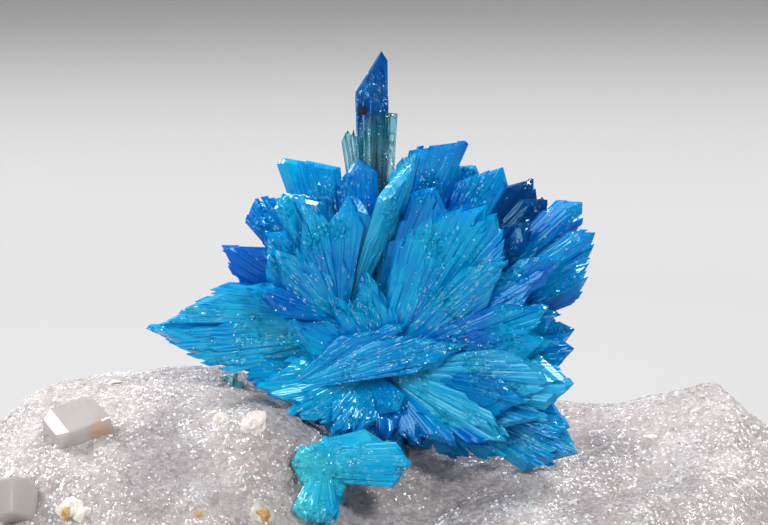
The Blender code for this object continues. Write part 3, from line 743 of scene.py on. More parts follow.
def sheaf_tree() -> Tree:
    """The tree that turns each blade's point into its laths.

    Its inputs are the lath's width, how many layers of laths lie over the blade's two faces (one
    for the plates in its middle), how thick a lath of a layer is, how uneven the tips and lengths
    are, how much each lath overlaps the next, and the seed.

    Returns:
        The tree.
    """
    tree = Tree("sheaf of laths")
    points = tree.takes("Geometry", "Geometry")
    lath_width = tree.takes("Lath width", "Float", 0.3 * MM)
    layers = tree.takes("Layers", "Int", 1)
    lath_thickness = tree.takes("Lath thickness", "Float", 0.0)
    step = tree.takes("Tip step", "Float", 0.1)
    shortest = tree.takes("Shortest", "Float", 0.9)
    overlap = tree.takes("Overlap", "Float", 1.3)
    seed = tree.takes("Seed", "Int", 1)
    finish = tree.takes("Finish", "Material")

    width, thickness, root = tree.named("width"), tree.named("thickness"), tree.named("root")
    axis, across, normal = (tree.named(name, "FLOAT_VECTOR") for name in ("axis", "across", "normal"))
    count = tree.reckon("MAXIMUM", tree.reckon("ROUND", width / lath_width), 1.0)
    inputs = {"Geometry": points, "Amount": count * layers}
    copies = tree.add("GeometryNodeDuplicateElements", inputs, out="Geometry", domain="POINT")
    index = Value(tree, copies.socket.node.outputs["Duplicate Index"])
    column = tree.reckon("MODULO", index, count)
    layer = tree.reckon("FLOOR", index / count)
    jitter = tree.chance(-0.35, 0.35, seed + 1)
    place = (column * 2.0 + 1.0 + jitter * (1.0 - 1.0 / count)) / count - 1.0
    level = layer / tree.reckon("MAXIMUM", layers - 1.0, 1.0) * 2.0 - 1.0
    level = level * tree.reckon("GREATER_THAN", layers, 1.5)

    half = width * 0.5
    section = 1.0 - place * place * EDGE_THINNING
    away = place - tree.named("apex")
    beyond = tree.reckon("GREATER_THAN", away, 0.0)
    low, high = tree.named("fall_low"), tree.named("fall_high")
    fall = low + (high - low) * beyond
    uneven = tree.chance(0.0, 1.0, seed + 2)
    length_share = 1.0 - tree.reckon("POWER", tree.chance(0.0, 1.0, seed + 3), 2.0) * (1.0 - shortest)
    outside = tree.reckon("MAXIMUM", tree.reckon("ABSOLUTE", away) - 1.0 / count, 0.0)
    drop = outside * half * fall * FALL_SHARE + uneven * uneven * step * width
    length = (tree.named("reach") - drop) * length_share
    start = tree.chance(0.2 * MM, 0.5 * MM, seed + 4)
    heart = tree.add("GeometryNodeInputPosition")
    lift = normal * (level * section * thickness * FACE_DEPTH)
    foot = heart + axis * start + across * (place * half * root * ROOT_SPREAD) + lift * root
    tip = heart + axis * length + across * (place * half) + lift
    plate = tree.reckon("LESS_THAN", layers, 1.5)
    half_thick = (section * thickness * 0.5) * plate + lath_thickness * tree.chance(0.35, 0.65, seed + 5)
    half_wide = half / count * overlap * tree.chance(0.8, 1.2, seed + 6)
    tip_side = tree.reckon("MINIMUM", tree.reckon("MAXIMUM", away * count * -1.0, -0.8), 0.8)

    laths = copies
    for name, value, kind in (
        ("lath_foot", foot, "FLOAT_VECTOR"),
        ("lath_way", tip - foot, "FLOAT_VECTOR"),
        ("lath_wide", half_wide, "FLOAT"),
        ("lath_thick", half_thick, "FLOAT"),
        ("lath_side", tip_side, "FLOAT"),
        ("lath_fall", fall, "FLOAT"),
        ("tint", tree.chance(0.0, 1.0, seed + 7), "FLOAT"),
    ):
        laths = tree.keep(laths, name, value, kind)

    inputs = {"Vertices": 6, "Side Segments": 1, "Fill Segments": 1, "Radius": 1.0, "Depth": 2.0}
    cylinder = tree.add("GeometryNodeMeshCylinder", inputs, out="Mesh", fill_type="TRIANGLE_FAN")
    cylinder = tree.keep(cylinder, "local", tree.add("GeometryNodeInputPosition"), "FLOAT_VECTOR")
    real = tree.planted(laths, cylinder)

    side, face, end = tree.split(tree.named("local", "FLOAT_VECTOR"))
    up = end * 0.5 + 0.5
    ring = tree.length(tree.joined(side, face, 0.0))
    way = tree.named("lath_way", "FLOAT_VECTOR")
    at_side = side + (1.0 - tree.reckon("MINIMUM", ring, 1.0)) * tree.named("lath_side")
    narrow = root + (1.0 - root) * up
    out_across = at_side * tree.named("lath_wide") * narrow
    out_face = face * tree.named("lath_thick") * narrow
    slope = tree.reckon("ABSOLUTE", at_side - tree.named("lath_side")) * tree.named("lath_wide")
    slope = slope * tree.named("lath_fall") + tree.reckon("ABSOLUTE", out_face) * END_BEVEL
    spot = tree.named("lath_foot", "FLOAT_VECTOR") + way * up - tree.unit(way) * (slope * up)
    spot = spot + across * out_across + normal * out_face
    shaped = tree.add("GeometryNodeSetPosition", {"Geometry": real, "Position": spot}, out="Geometry")

    shift = tree.named("tint") * CHART_SPACING
    flat = tree.joined(out_across + shift, tree.length(way) * up + shift, 0.0)
    shaped = tree.keep(shaped, "UVMap", flat, "FLOAT2", "CORNER")
    used = ("lath_*", "fall_*", "axis", "across", "normal", "reach", "width", "thickness", "apex", "root", "local")
    for name in used:
        mode = {"pattern_mode": "WILDCARD"} if name.endswith("*") else {}
        shaped = tree.add("GeometryNodeRemoveAttribute", {"Geometry": shaped, "Name": name}, out="Geometry", **mode)
    return tree.finished(shaped, finish)


# Finishes


def striation_group() -> bpy.types.NodeTree:
    """Fine lines along a crystal, from its own UV map: across the lath and along it, in metres.

    Returns:
        The group, which gives Height and Lines.
    """
    tree = Tree("striation", "ShaderNodeTree")
    fineness = tree.takes("Lines per millimetre", "Float", 14.0)
    spot = tree.add("ShaderNodeUVMap", uv_map="UVMap")
    across, along, _ = tree.split(spot)
    lines = tree.joined(across * fineness * (1 / MM), along * (0.9 / MM), 0.0)
    fine = tree.clouds(lines, 1.0, 1.0)
    wide = tree.joined(across * fineness * (0.3 / MM), along * (0.35 / MM), 3.0)
    broad = tree.clouds(wide, 1.0, 0.0)
    tree.gives("Height", "Float", fine * 0.5 + broad * 0.5)
    tree.gives("Lines", "Float", tree.ranged(fine, 0.35, 0.65))
    return tree.group


def fleck_and_glint_group() -> bpy.types.NodeTree:
    """Bright specks and short streaks: partly healed cracks, partly painted glints where small steps would catch the
    light.

    Returns:
        The group, which gives Mask.
    """
    tree = Tree("flecks_and_glints", "ShaderNodeTree")
    size = tree.takes("Size in millimetres", "Float", 0.14)
    share = tree.takes("Share", "Float", 0.15)
    streak = tree.takes("Streak", "Float", 3.0)
    across, along, _ = tree.split(tree.add("ShaderNodeUVMap", uv_map="UVMap"))
    fine = (1 / MM) / size
    laid = tree.joined(across * fine, along * fine / streak, 0.0)
    cells = tree.add("ShaderNodeTexVoronoi", {"Vector": laid, "Scale": 1.0}, out="Distance")
    colour = Value(tree, cells.socket.node.outputs["Color"])
    chosen = tree.add("ShaderNodeSeparateColor", {"Color": colour}, out="Red")
    chosen = tree.reckon("LESS_THAN", chosen, share)
    patch = tree.ranged(tree.clouds(tree.place(), 0.55 / MM, 1.0), 0.47, 0.62)
    tree.gives("Mask", "Float", tree.ranged(cells, 0.42, 0.2) * chosen * patch)
    return tree.group


def facet_group() -> bpy.types.NodeTree:
    """Heights of tiny crystal faces, each tilted its own way.

    Returns:
        The group, which gives Height and Cell.
    """
    tree = Tree("facets", "ShaderNodeTree")
    size = tree.takes("Size in millimetres", "Float", 0.2)
    spot = tree.place() * ((1 / MM) / size)
    cells = tree.add("ShaderNodeTexVoronoi", {"Vector": spot, "Scale": 1.0}, out="Distance")
    node = cells.socket.node
    tilt = Value(tree, node.outputs["Color"])
    tilt = tree.add("ShaderNodeVectorMath", {0: tilt, 1: (0.5, 0.5, 0.5)}, operation="SUBTRACT")
    inside = spot - Value(tree, node.outputs["Position"])
    tree.gives("Height", "Float", tree.dot(tilt, inside))
    tree.gives("Cell", "Float", tree.add("ShaderNodeSeparateColor", {"Color": tilt}, out="Green"))
    return tree.group


@dataclass
class Groups:
    """The shader groups that several finishes share, each built once."""

    striation: bpy.types.NodeTree = field(default_factory=striation_group)
    flecks_and_glints: bpy.types.NodeTree = field(default_factory=fleck_and_glint_group)
    facets: bpy.types.NodeTree = field(default_factory=facet_group)


def shader_of(name: str) -> tuple[bpy.types.Material, Tree, bpy.types.Node]:
    """Makes a new material.

    Args:
        name: Its name.

    Returns:
        The material, its tree and its Principled shader.
    """
    made = bpy.data.materials.new(name)
    made.use_nodes = True
    return made, Tree.inside(made.node_tree), made.node_tree.nodes["Principled BSDF"]


def grouped(tree: Tree, group: bpy.types.NodeTree, out: str, **inputs: Any) -> Value:
    """Places a shared shader group in a material.

    Args:
        tree: The material's tree.
        group: The group.
        out: The output to give.
        **inputs: Values for its inputs, with underscores for spaces.

    Returns:
        The output.
    """
    node = tree.nodes.new("ShaderNodeGroup")
    node.node_tree = group
    for name, value in inputs.items():
        tree.plug(node.inputs[name.replace("_", " ")], value)
    return Value(tree, node.outputs[out])


def bumped(tree: Tree, shader: bpy.types.Node, height: Value, distance: float) -> None:
    """Gives a shader its bump.

    Args:
        tree: The material's tree.
        shader: The shader.
        height: The bump's height over the surface.
        distance: How far a height of one stands out, in millimetres.
    """
    inputs = {"Height": height, "Distance": distance * MM, "Strength": 1.0}
    tree.plug(shader.inputs["Normal"], tree.add("ShaderNodeBump", inputs, out="Normal"))


def fixed(shader: bpy.types.Node, values: dict[str, Any]) -> None:
    """Sets a shader's own sockets to plain values."""
    for name, value in values.items():
        shader.inputs[name].default_value = value


@dataclass(frozen=True)
class BlueCrystal:
    """Pentagonite: striated, glassy blue, with bright specks that are partly healed cracks and partly painted glints.

    deep and bright are its two blues. The lines on the lightest blades take a painted highlight,
    a pale cyan; dark is painted shade for blades that lie in shadow; pale is the near-white of the
    specks. Where below is set, the crystal turns to that colour and below_deep
    under a slanting line at turns_at millimetres. It absorbs light only where density is set.
    """

    name: str
    deep: tuple[float, float, float]
    bright: tuple[float, float, float]
    # Near-white of the specks: partly healed cracks, partly painted glints.
    pale: tuple[float, float, float] = (0.55, 0.96, 1.0)
    # Painted highlight: the pale cyan that the lines of the lightest blades take.
    painted_highlight: tuple[float, float, float] = (0.05, 0.66, 1.0)
    roughness: float = 0.06
    transmission: float = 0.42
    absorbs: tuple[float, float, float] = (0.02, 0.55, 0.92)
    density: float = 0.0
    fleck_and_glint_share: float = 0.24
    # Painted shade: the near-black blue of the blades that lie in shadow.
    dark: tuple[float, float, float] = (0.0, 0.05, 0.17)
    relief: float = 0.028
    glints: float = 4.0
    below: tuple[float, float, float] | None = None
    below_deep: tuple[float, float, float] = (0.02, 0.36, 0.46)
    turns_at: float = 16.4
    turn_slope: float = 0.7
    turn_waves: float = 1.6
    turn_width: float = 0.35
    by_clouds: float = 0.75
    by_tint: float = 0.2
    by_lines: float = 0.3
    by_tone: float = 0.4
    by_start: float = -0.15

    def made(self, groups: Groups) -> bpy.types.Material:
        """Builds the material.

        Args:
            groups: The shared shader groups.

        Returns:
            The material.
        """
        material, tree, shader = shader_of(self.name)
        lines = grouped(tree, groups.striation, "Lines", Lines_per_millimetre=14.0)
        height = Value(tree, lines.socket.node.outputs["Height"])
        spot = tree.place()
        clouds = tree.clouds(spot, 0.45 / MM, 1.0)
        tone = tree.add("ShaderNodeAttribute", out="Fac", attribute_name="tone")
        tint = tree.add("ShaderNodeAttribute", out="Fac", attribute_name="tint")
        # Specks: partly healed cracks, partly painted glints, with more of them on lighter blades.
        often = tone * 0.2 + self.fleck_and_glint_share
        flecks_and_glints = grouped(tree, groups.flecks_and_glints, "Mask", Size_in_millimetres=0.045, Share=often, Streak=6.0)
        # Lightness of the blue: random clouds, a random tint per lath and the lines, plus each blade's own depth of
        # blue mixed with painted light and shade.
        light = tree.ranged(clouds, 0.34, 0.66) * self.by_clouds + tint * self.by_tint
        light = light + lines * self.by_lines + tone * self.by_tone + self.by_start
        colour = tree.blend(tree.ranged(light, 0.0, 0.9), self.deep, self.bright)
        # Painted highlight: pale cyan lines on the lightest blades.
        colour = tree.blend(tree.ranged(tone + lines, 1.0, 1.9), colour, self.painted_highlight)
        # Painted shade: the darkest blades turn towards near-black blue.
        colour = tree.blend(tree.ranged(tone, -1.8, -0.9, 0.85, 0.0), colour, self.dark)
        if self.below:
            side, _, high = tree.split(spot)
            level = high - side * self.turn_slope + (clouds - 0.5) * (self.turn_waves * MM)
            ends = ((self.turns_at + way * self.turn_width) * MM for way in (-1, 1))
            columns = tree.clouds(spot * (5.0 / MM, 5.0 / MM, 0.25 / MM), 1.0, 1.0)
            lower = tree.blend(tree.ranged(columns, 0.42, 0.6), self.below_deep, self.below)
            colour = tree.blend(tree.ranged(level, *ends), lower, colour)
        # The specks turn near-white: painted glints, partly healed cracks.
        tree.plug(shader.inputs["Base Color"], tree.blend(flecks_and_glints, colour, self.pale))
        polish = tree.ranged(lines, 0.0, 1.0, self.roughness * 0.6, self.roughness * 1.5)
        tree.plug(shader.inputs["Roughness"], polish)
        chips = grouped(tree, groups.facets, "Height", Size_in_millimetres=0.09)
        chips = chips * tree.ranged(tree.clouds(spot, 0.9 / MM, 1.0), 0.5, 0.66) * self.glints
        bumped(tree, shader, height + chips, self.relief)
        tint = (0.4, 0.85, 1.0, 1)
        fixed(shader, {"Specular Tint": tint, "IOR": 1.55, "Transmission Weight": self.transmission})
        if self.density:
            inside = tree.add("ShaderNodeVolumeAbsorption", {"Color": (*self.absorbs, 1), "Density": self.density})
            output = next(node for node in tree.nodes if node.type == "OUTPUT_MATERIAL")
            tree.plug(output.inputs["Volume"], inside)
        return material


@dataclass(frozen=True)
class Druse:
    """White, sugary druse: grains whose faces glint, with faint ochre stains."""

    name: str
    light: tuple[float, float, float] = (0.51, 0.465, 0.455)
    shade: tuple[float, float, float] = (0.38, 0.335, 0.335)
    ochre: tuple[float, float, float] = (0.45, 0.27, 0.12)
    glint: tuple[float, float, float] = (0.9, 0.9, 0.92)
    roughness: float = 0.2
    grain: float = 0.16

    def made(self, groups: Groups) -> bpy.types.Material:
        """Builds the material.

        Args:
            groups: The shared shader groups.

        Returns:
            The material.
        """
        material, tree, shader = shader_of(self.name)
        coarse = grouped(tree, groups.facets, "Height", Size_in_millimetres=self.grain)
        fine = grouped(tree, groups.facets, "Height", Size_in_millimetres=self.grain * 0.45)
        cell = Value(tree, coarse.socket.node.outputs["Cell"])
        spot = tree.place()
        clouds = tree.clouds(spot, 0.35 / MM, 2.0)
        stains = tree.clouds(spot, 0.22 / MM, 3.0)
        colour = tree.blend(tree.ranged(clouds, 0.35, 0.65), self.shade, self.light)
        colour = tree.blend(tree.ranged(cell, -0.5, 0.5, 0.0, 0.2), colour, self.glint)
        colour = tree.blend(tree.ranged(stains, 0.66, 0.76, 0.0, 0.5), colour, self.ochre)
        tree.plug(shader.inputs["Base Color"], colour)
        tree.plug(shader.inputs["Roughness"], tree.ranged(cell, -0.5, 0.5, self.roughness * 0.5, self.roughness * 1.7))
        bumped(tree, shader, coarse * 0.7 + fine * 0.6, self.grain * 0.6)
        depth = {"Subsurface Radius": (1.0, 0.9, 0.85), "Subsurface Scale": 0.5 * MM}
        fixed(shader, {"IOR": 1.54, "Subsurface Weight": 0.6, **depth})
        return material


@dataclass(frozen=True)
class PaleGlass:
    """A pale, milky crystal with frosted edges and a warm stain around a pixel of the photograph."""

    name: str
    light: tuple[float, float, float] = (0.77, 0.725, 0.705)
    warm: tuple[float, float, float] = (0.88, 0.5, 0.28)
    frosted: tuple[float, float, float] = (0.9, 0.88, 0.86)
    transmission: float = 0.6
    stain: tuple[float, float] = (92, 436)
    stain_before_target: float = 4.5

    def made(self, groups: Groups) -> bpy.types.Material:
        """Builds the material.

        Args:
            groups: The shared shader groups.

        Returns:
            The material.
        """
        material, tree, shader = shader_of(self.name)
        spot = tree.place()
        stains = tree.clouds(spot, 0.7 / MM, 2.0)
        frost = grouped(tree, groups.flecks_and_glints, "Mask", Size_in_millimetres=0.1, Share=0.3, Streak=1.0)
        relief = grouped(tree, groups.facets, "Height", Size_in_millimetres=0.35)
        eye, sight = Studio().sight(self.stain)
        middle = eye + sight * (Studio().distance - self.stain_before_target) * MM
        flat = [tree.dot(spot, tuple(axis)) - middle.dot(axis) for axis in photo_axes()[:2]]
        away = tree.length(tree.joined(*flat, 0.0)) / MM + stains * 0.5
        colour = tree.blend(tree.ranged(away, 0.42, 0.72, 0.75, 0.0), self.light, self.warm)
        tree.plug(shader.inputs["Base Color"], tree.blend(frost * 0.7, colour, self.frosted))
        tree.plug(shader.inputs["Roughness"], tree.ranged(frost, 0.0, 1.0, 0.18, 0.5))
        bumped(tree, shader, relief, 0.012)
        depth = {"Subsurface Radius": (1.0, 0.9, 0.8), "Subsurface Scale": 0.6 * MM}
        fixed(shader, {"IOR": 1.5, "Transmission Weight": self.transmission, "Subsurface Weight": 0.3, **depth})
        return material


@dataclass(frozen=True)
class Chalk:
    """A rough, porous lump of one colour, with painted shade: a quarter darker in soft noise patches."""

    name: str
    colour: tuple[float, float, float]
    roughness: float = 0.75

    def made(self, groups: Groups) -> bpy.types.Material:
        """Builds the material.

        Args:
            groups: The shared shader groups.

        Returns:
            The material.
        """
        material, tree, shader = shader_of(self.name)
        grain = grouped(tree, groups.facets, "Height", Size_in_millimetres=0.08)
        clouds = tree.clouds(tree.place(), 4.0 / MM, 3.0)
        # Painted shade: a darker copy of the colour, laid on soft noise patches.
        painted_shade = tuple(part * 0.75 for part in self.colour)
        tree.plug(shader.inputs["Base Color"], tree.blend(tree.ranged(clouds, 0.4, 0.7), self.colour, painted_shade))
        tree.plug(shader.inputs["Roughness"], tree.ranged(clouds, 0.3, 0.7, self.roughness, 1.0))
        bumped(tree, shader, grain + clouds, 0.03)
        return material


# Sub-assemblies


@dataclass(frozen=True)
class Weave:
    """One set of laths over the blades: broad plates inside, or fine ribs on their faces.

    The widths are in millimetres. step and shortest say how uneven the tips and lengths are, and
    overlap how much each lath overlaps the next.
    """

    lath_width: float
    layers: int
    lath_thickness: float
    step: float
    shortest: float
    overlap: float
    seed: int


@dataclass(frozen=True)
class Knot:
    """The uneven crystal mass that a spray's blades grow from, in millimetres."""

    middle: Vector
    radii: tuple[float, float, float]
    seed: int
    corners: int = 60

    def build(self, name: str, finish: bpy.types.Material) -> bpy.types.Object:
        """A closed faceted solid round points spread evenly over an ellipsoid.

        Args:
            name: The object's name.
            finish: Its material.

        Returns:
            The object.
        """
        chance = random.Random(self.seed)
        shape = bmesh.new()
        for number in range(self.corners):
            high = 1 - 2 * (number + 0.5) / self.corners
            turn = math.radians(number * GOLDEN_ANGLE)
            flat = math.sqrt(1 - high * high)
            spot = Vector((flat * math.cos(turn), flat * math.sin(turn), high)) * chance.uniform(0.86, 1.0)
            shape.verts.new((self.middle + Vector([part * size for part, size in zip(spot, self.radii)])) * MM)
        made = bmesh.ops.convex_hull(shape, input=shape.verts)
        inside = {item for item in made["geom_interior"] if isinstance(item, bmesh.types.BMVert)}
        bmesh.ops.delete(shape, geom=list(inside), context="VERTS")
        bmesh.ops.recalc_face_normals(shape, faces=shape.faces)
        mesh = bpy.data.meshes.new(name)
        shape.to_mesh(mesh)
        shape.free()
        mesh.materials.append(finish)
        return put(name, mesh)


MAIN_KNOTS = (
    Knot(SPRAY_MIDDLE + Vector((-0.05, 0.75, 0.6)), (1.7, 0.85, 1.7), 5),
    Knot(SPRAY_MIDDLE + Vector((0.6, 0.5, -0.2)), (1.1, 0.85, 0.9), 14),
)
SMALL_KNOTS = (Knot(SMALL_MIDDLE, (0.72, 0.6, 0.72), 8),)
PLATES = Weave(0.8, 1, 0.0, 0.06, 0.97, 1.35, 3)
COLUMNS = Weave(0.2, 1, 0.0, 0.03, 0.97, 1.2, 5)
SHEET = Weave(1.2, 1, 0.0, 0.02, 0.99, 1.0, 7)
RIBS = Weave(0.13, 2, 0.04, 0.14, 0.5, 1.7, 20)


@dataclass
class Spray:
    """A group of blades that is one piece of the specimen."""

    name: str
    node: str
    blades: Iterable[Blade]
    weaves: tuple[Weave, ...] = (PLATES, RIBS)
    knots: tuple[Knot, ...] = ()
    made: list[bpy.types.Object] = field(default_factory=list)

    def build(self, tree: Tree, finish: bpy.types.Material) -> None:
        """Grows the laths of every weave, and joins them in one mesh.

        Args:
            tree: The tree that turns a blade's point into laths.
            finish: The laths' material.
        """
        layers = []
        for weave in self.weaves:
            settings = {
                "Lath width": weave.lath_width * MM,
                "Layers": weave.layers,
                "Lath thickness": weave.lath_thickness * MM,
                "Tip step": weave.step,
                "Shortest": weave.shortest,
                "Overlap": weave.overlap,
                "Seed": weave.seed,
                "Finish": finish,
            }
            layers.append(grown(self.name, blade_points(self.blades), tree, settings))
        layers.extend(knot.build(f"{self.name}_knot", finish) for knot in self.knots)
        self.made = [merged(self.name, layers)]

    def dress(self) -> None:
        """Puts the laths on the frame in place of the plain solid."""
        for piece in self.made:
            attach(piece, "root")
            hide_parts(self.node)


def merged(name: str, objects: list[bpy.types.Object]) -> bpy.types.Object:
    """Joins mesh objects in one, and keeps their attributes.

    Args:
        name: The joined object's name.
        objects: The objects, which are used up.

    Returns:
        The joined object.
    """
    first = objects[0]
    if len(objects) > 1:
        with bpy.context.temp_override(
            active_object=first, object=first, selected_objects=objects, selected_editable_objects=objects
        ):
            bpy.ops.object.join()
    first.name = first.data.name = name
    return first


def frost_and_glint_tree() -> Tree:
    """The tree that scatters tiny bright chips in patches, where nothing else covers the surface: partly frost and
    dust specks, partly painted glints.

    Returns:
        The tree.
    """
    tree = Tree("frost of tiny chips")
    ground = tree.takes("Geometry", "Geometry")
    density = tree.takes("Chips per square metre", "Float", 22.0e6)
    largest = tree.takes("Largest", "Float", 0.07 * MM)
    patch = tree.takes("Patch size", "Float", 1.2 * MM)
    share = tree.takes("Bare share", "Float", 0.57)
    bare = tree.takes("Bare below", "Float", 0.3 * MM)
    reach = tree.takes("Clear above", "Float", 3.0 * MM)
    seed = tree.takes("Seed", "Int", 9)
    finish = tree.takes("Finish", "Material")
    spot = tree.add("GeometryNodeInputPosition")
    clouds = tree.clouds(spot, 1.0 / patch, 3.0)
    free = tree.reckon("GREATER_THAN", clouds, share) * tree.reckon("GREATER_THAN", tree.split(spot)[2], bare)
    spots, normal = tree.scattered(ground, free, density, seed)
    spots = tree.keep(spots, "outward", normal, "FLOAT_VECTOR")
    outward = tree.named("outward", "FLOAT_VECTOR")
    start = tree.add("GeometryNodeInputPosition") + outward * (0.01 * MM)
    ray = {"Source Position": start, "Ray Direction": outward, "Ray Length": reach}
    cover = tree.add("GeometryNodeRaycast", {"Target Geometry": ground, **ray}, out="Is Hit")
    inputs = {"Geometry": spots, "Selection": cover}
    spots = tree.add("GeometryNodeDeleteGeometry", inputs, out="Geometry", domain="POINT")
    turn = tree.tipped(outward, 0.5, seed + 1)
    size = largest * (0.3 + 0.7 * tree.reckon("POWER", tree.chance(0.0, 1.0, seed + 2), 3.0))
    chip = tree.cone(5, top=0.25, depth=0.45, sunk=0.15)
    real = tree.planted(spots, chip, Rotation=turn, Scale=tree.joined(size, size, size))
    real = tree.add("GeometryNodeRemoveAttribute", {"Geometry": real, "Name": "outward"}, out="Geometry")
    return tree.finished(real, finish)


@dataclass
class FrostAndGlints:
    """Tiny bright chips on one piece: partly frost and dust specks, partly painted glints."""

    name: str
    under: bpy.types.Object
    node: str
    slot: str
    settings: dict[str, float]
    made: list[bpy.types.Object] = field(default_factory=list)

    def build(self, tree: Tree, finish: bpy.types.Material) -> None:
        """Scatters the chips over the piece.

        Args:
            tree: The tree that scatters them.
            finish: The chips' material.
        """
        spare = bpy.data.objects.new(f"{self.name} ground", self.under.data)
        self.made = [grown(self.name, spare, tree, {**self.settings, "Finish": finish})]

    def dress(self) -> None:
        """Puts the chips on the frame."""
        for piece in self.made:
            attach(piece, "root")
            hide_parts(self.node)


def druse_tree() -> Tree:
    """The tree that scatters small quartz points over a surface.

    Returns:
        The tree.
    """
    tree = Tree("druse of quartz points")
    ground = tree.takes("Geometry", "Geometry")
    density = tree.takes("Points per square metre", "Float", 6.0e6)
    smallest = tree.takes("Smallest", "Float", 0.06 * MM)
    largest = tree.takes("Largest", "Float", 0.2 * MM)
    floor = tree.takes("Bare below", "Float", 0.25 * MM)
    seed = tree.takes("Seed", "Int", 4)
    finish = tree.takes("Finish", "Material")
    low = tree.split(tree.add("GeometryNodeInputPosition"))[2]
    free = tree.reckon("GREATER_THAN", low, floor)
    spots, normal = tree.scattered(ground, free, density, seed)
    turn = tree.tipped(normal, 0.65, seed + 1)
    size = smallest + (largest - smallest) * tree.reckon("POWER", tree.chance(0.0, 1.0, seed + 2), 2.0)
    prism = tree.cone(6, top=0.0, depth=0.7, sunk=0.25)
    real = tree.planted(spots, prism, Rotation=turn, Scale=tree.joined(size, size, size))
    return tree.finished(real, finish)


def lumps_tree() -> Tree:
    """The tree that gives a smooth surface its small lumps.

    Returns:
        The tree.
    """
    tree = Tree("lumps")
    ground = tree.takes("Geometry", "Geometry")
    size = tree.takes("Lump size", "Float", 0.8 * MM)
    height = tree.takes("Lump height", "Float", 0.12 * MM)
    floor = tree.takes("Flat below", "Float", 0.05 * MM)
    finish = tree.takes("Finish", "Material")
    spot = tree.add("GeometryNodeInputPosition")
    clouds = tree.clouds(spot, 1.0 / size, 3.0)
    free = tree.reckon("GREATER_THAN", tree.split(spot)[2], floor)
    push = tree.add("GeometryNodeInputNormal") * ((clouds - 0.5) * height * 2.0 * free)
    shaped = tree.add("GeometryNodeSetPosition", {"Geometry": ground, "Offset": push}, out="Geometry")
    return tree.finished(shaped, finish, smooth=True)


def copy_of(node: str) -> bpy.types.Object:
    """Copies a CAD node's mesh, and merges its doubles.

    Args:
        node: The node's name.

    Returns:
        The copy, as a new object.
    """
    shape = bmesh.new()
    shape.from_mesh(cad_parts[node].data)
    bmesh.ops.remove_doubles(shape, verts=shape.verts, dist=0.002 * MM)
    mesh = bpy.data.meshes.new(f"{node} copy")
    shape.to_mesh(mesh)
    shape.free()
    return put(f"{node} copy", mesh)


@dataclass
class Bed:
    """The matrix: rounded mounds, and the crust of quartz points on them.

    sinks moves the copy of the left pale crystal that fills its old seat in the mounds.
    """

    voxel: float = 0.17
    sinks: tuple[float, float, float] = (0.05, 0.45, -0.62)
    made: list[bpy.types.Object] = field(default_factory=list)

    def build(self, ground: bpy.types.Material, points: bpy.types.Material) -> None:
        """Makes the mounds from the CAD solid's own shape, and scatters the points.

        Args:
            ground: The mounds' material.
            points: The quartz points' material.
        """
        source = copy_of("matrix")
        filler = copy_of("pale_crystal_left")
        filler.data.transform(Matrix.Translation(Vector(self.sinks) * MM))
        source = merged("matrix copy", [source, filler])
        remesh = source.modifiers.new("fine mesh", "REMESH")
        remesh.mode = "VOXEL"
        remesh.voxel_size = self.voxel * MM
        soften = source.modifiers.new("soften", "SMOOTH")
        soften.factor = 0.5
        soften.iterations = 8
        mounds = grown("matrix_mounds", source, lumps_tree(), {"Finish": ground})
        spare = bpy.data.objects.new("ground", mounds.data)
        crust = grown("quartz_points", spare, druse_tree(), {"Finish": points})
        self.made = [mounds, crust]

    def dress(self) -> None:
        """Puts the mounds and points on the frame in place of the plain solid."""
        for piece in self.made:
            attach(piece, "root")
            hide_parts("matrix")


@dataclass
class PaleBlocks:
    """The two pale, blocky crystals at the left.

    edge is their worn edges' width in millimetres. moves gives the two pixels of the photograph
    that each crystal moves between.
    """

    nodes: tuple[str, ...] = ("pale_crystal_left", "pale_crystal_front")
    edge: float = 0.07
    moves: tuple[tuple[tuple[float, float], ...], ...] = (((72, 462), (80, 434)), ((20, 505), (20, 505)))
    made: list[bpy.types.Object] = field(default_factory=list)

    def build(self, ground: bpy.types.Object, finish: bpy.types.Material) -> None:
        """Moves each block a little along the mounds, and rounds its edges.

        Args:
            ground: The mounds.
            finish: The blocks' material.
        """
        surface = BVHTree.FromObject(ground, bpy.context.evaluated_depsgraph_get())
        for node, move in zip(self.nodes, self.moves):
            source = copy_of(node)
            before, after = (surface.ray_cast(*Studio().sight(pixel))[0] for pixel in move)
            source.data.transform(Matrix.Translation(after - before))
            bevel = source.modifiers.new("worn edges", "BEVEL")
            bevel.width = self.edge * MM
            bevel.segments = 2
            bevel.limit_method = "ANGLE"
            settings = {"Finish": finish, "Lump height": 0.0, "Flat below": 0.0}
            self.made.append(grown(f"{node}_block", source, lumps_tree(), settings))
            self.made[-1].data.shade_flat()

    def dress(self) -> None:
        """Puts each block on the frame in place of its plain solid."""
        for node, piece in zip(self.nodes, self.made):
            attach(piece, "root")
            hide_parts(node)


class Mineral(Enum):
    """What a small lump on the matrix is made of."""

    CHALK = "white chalky lump"
    OCHRE = "ochre core"
    TEAL = "teal chip"
    DARK = "dark inclusion"


@dataclass(frozen=True)
class Lump:
    """A small lump on the matrix: the photograph's pixel that it is at, and its size in millimetres."""

    pixel: tuple[float, float]
    size: float
    mineral: Mineral
    squash: float = 0.34


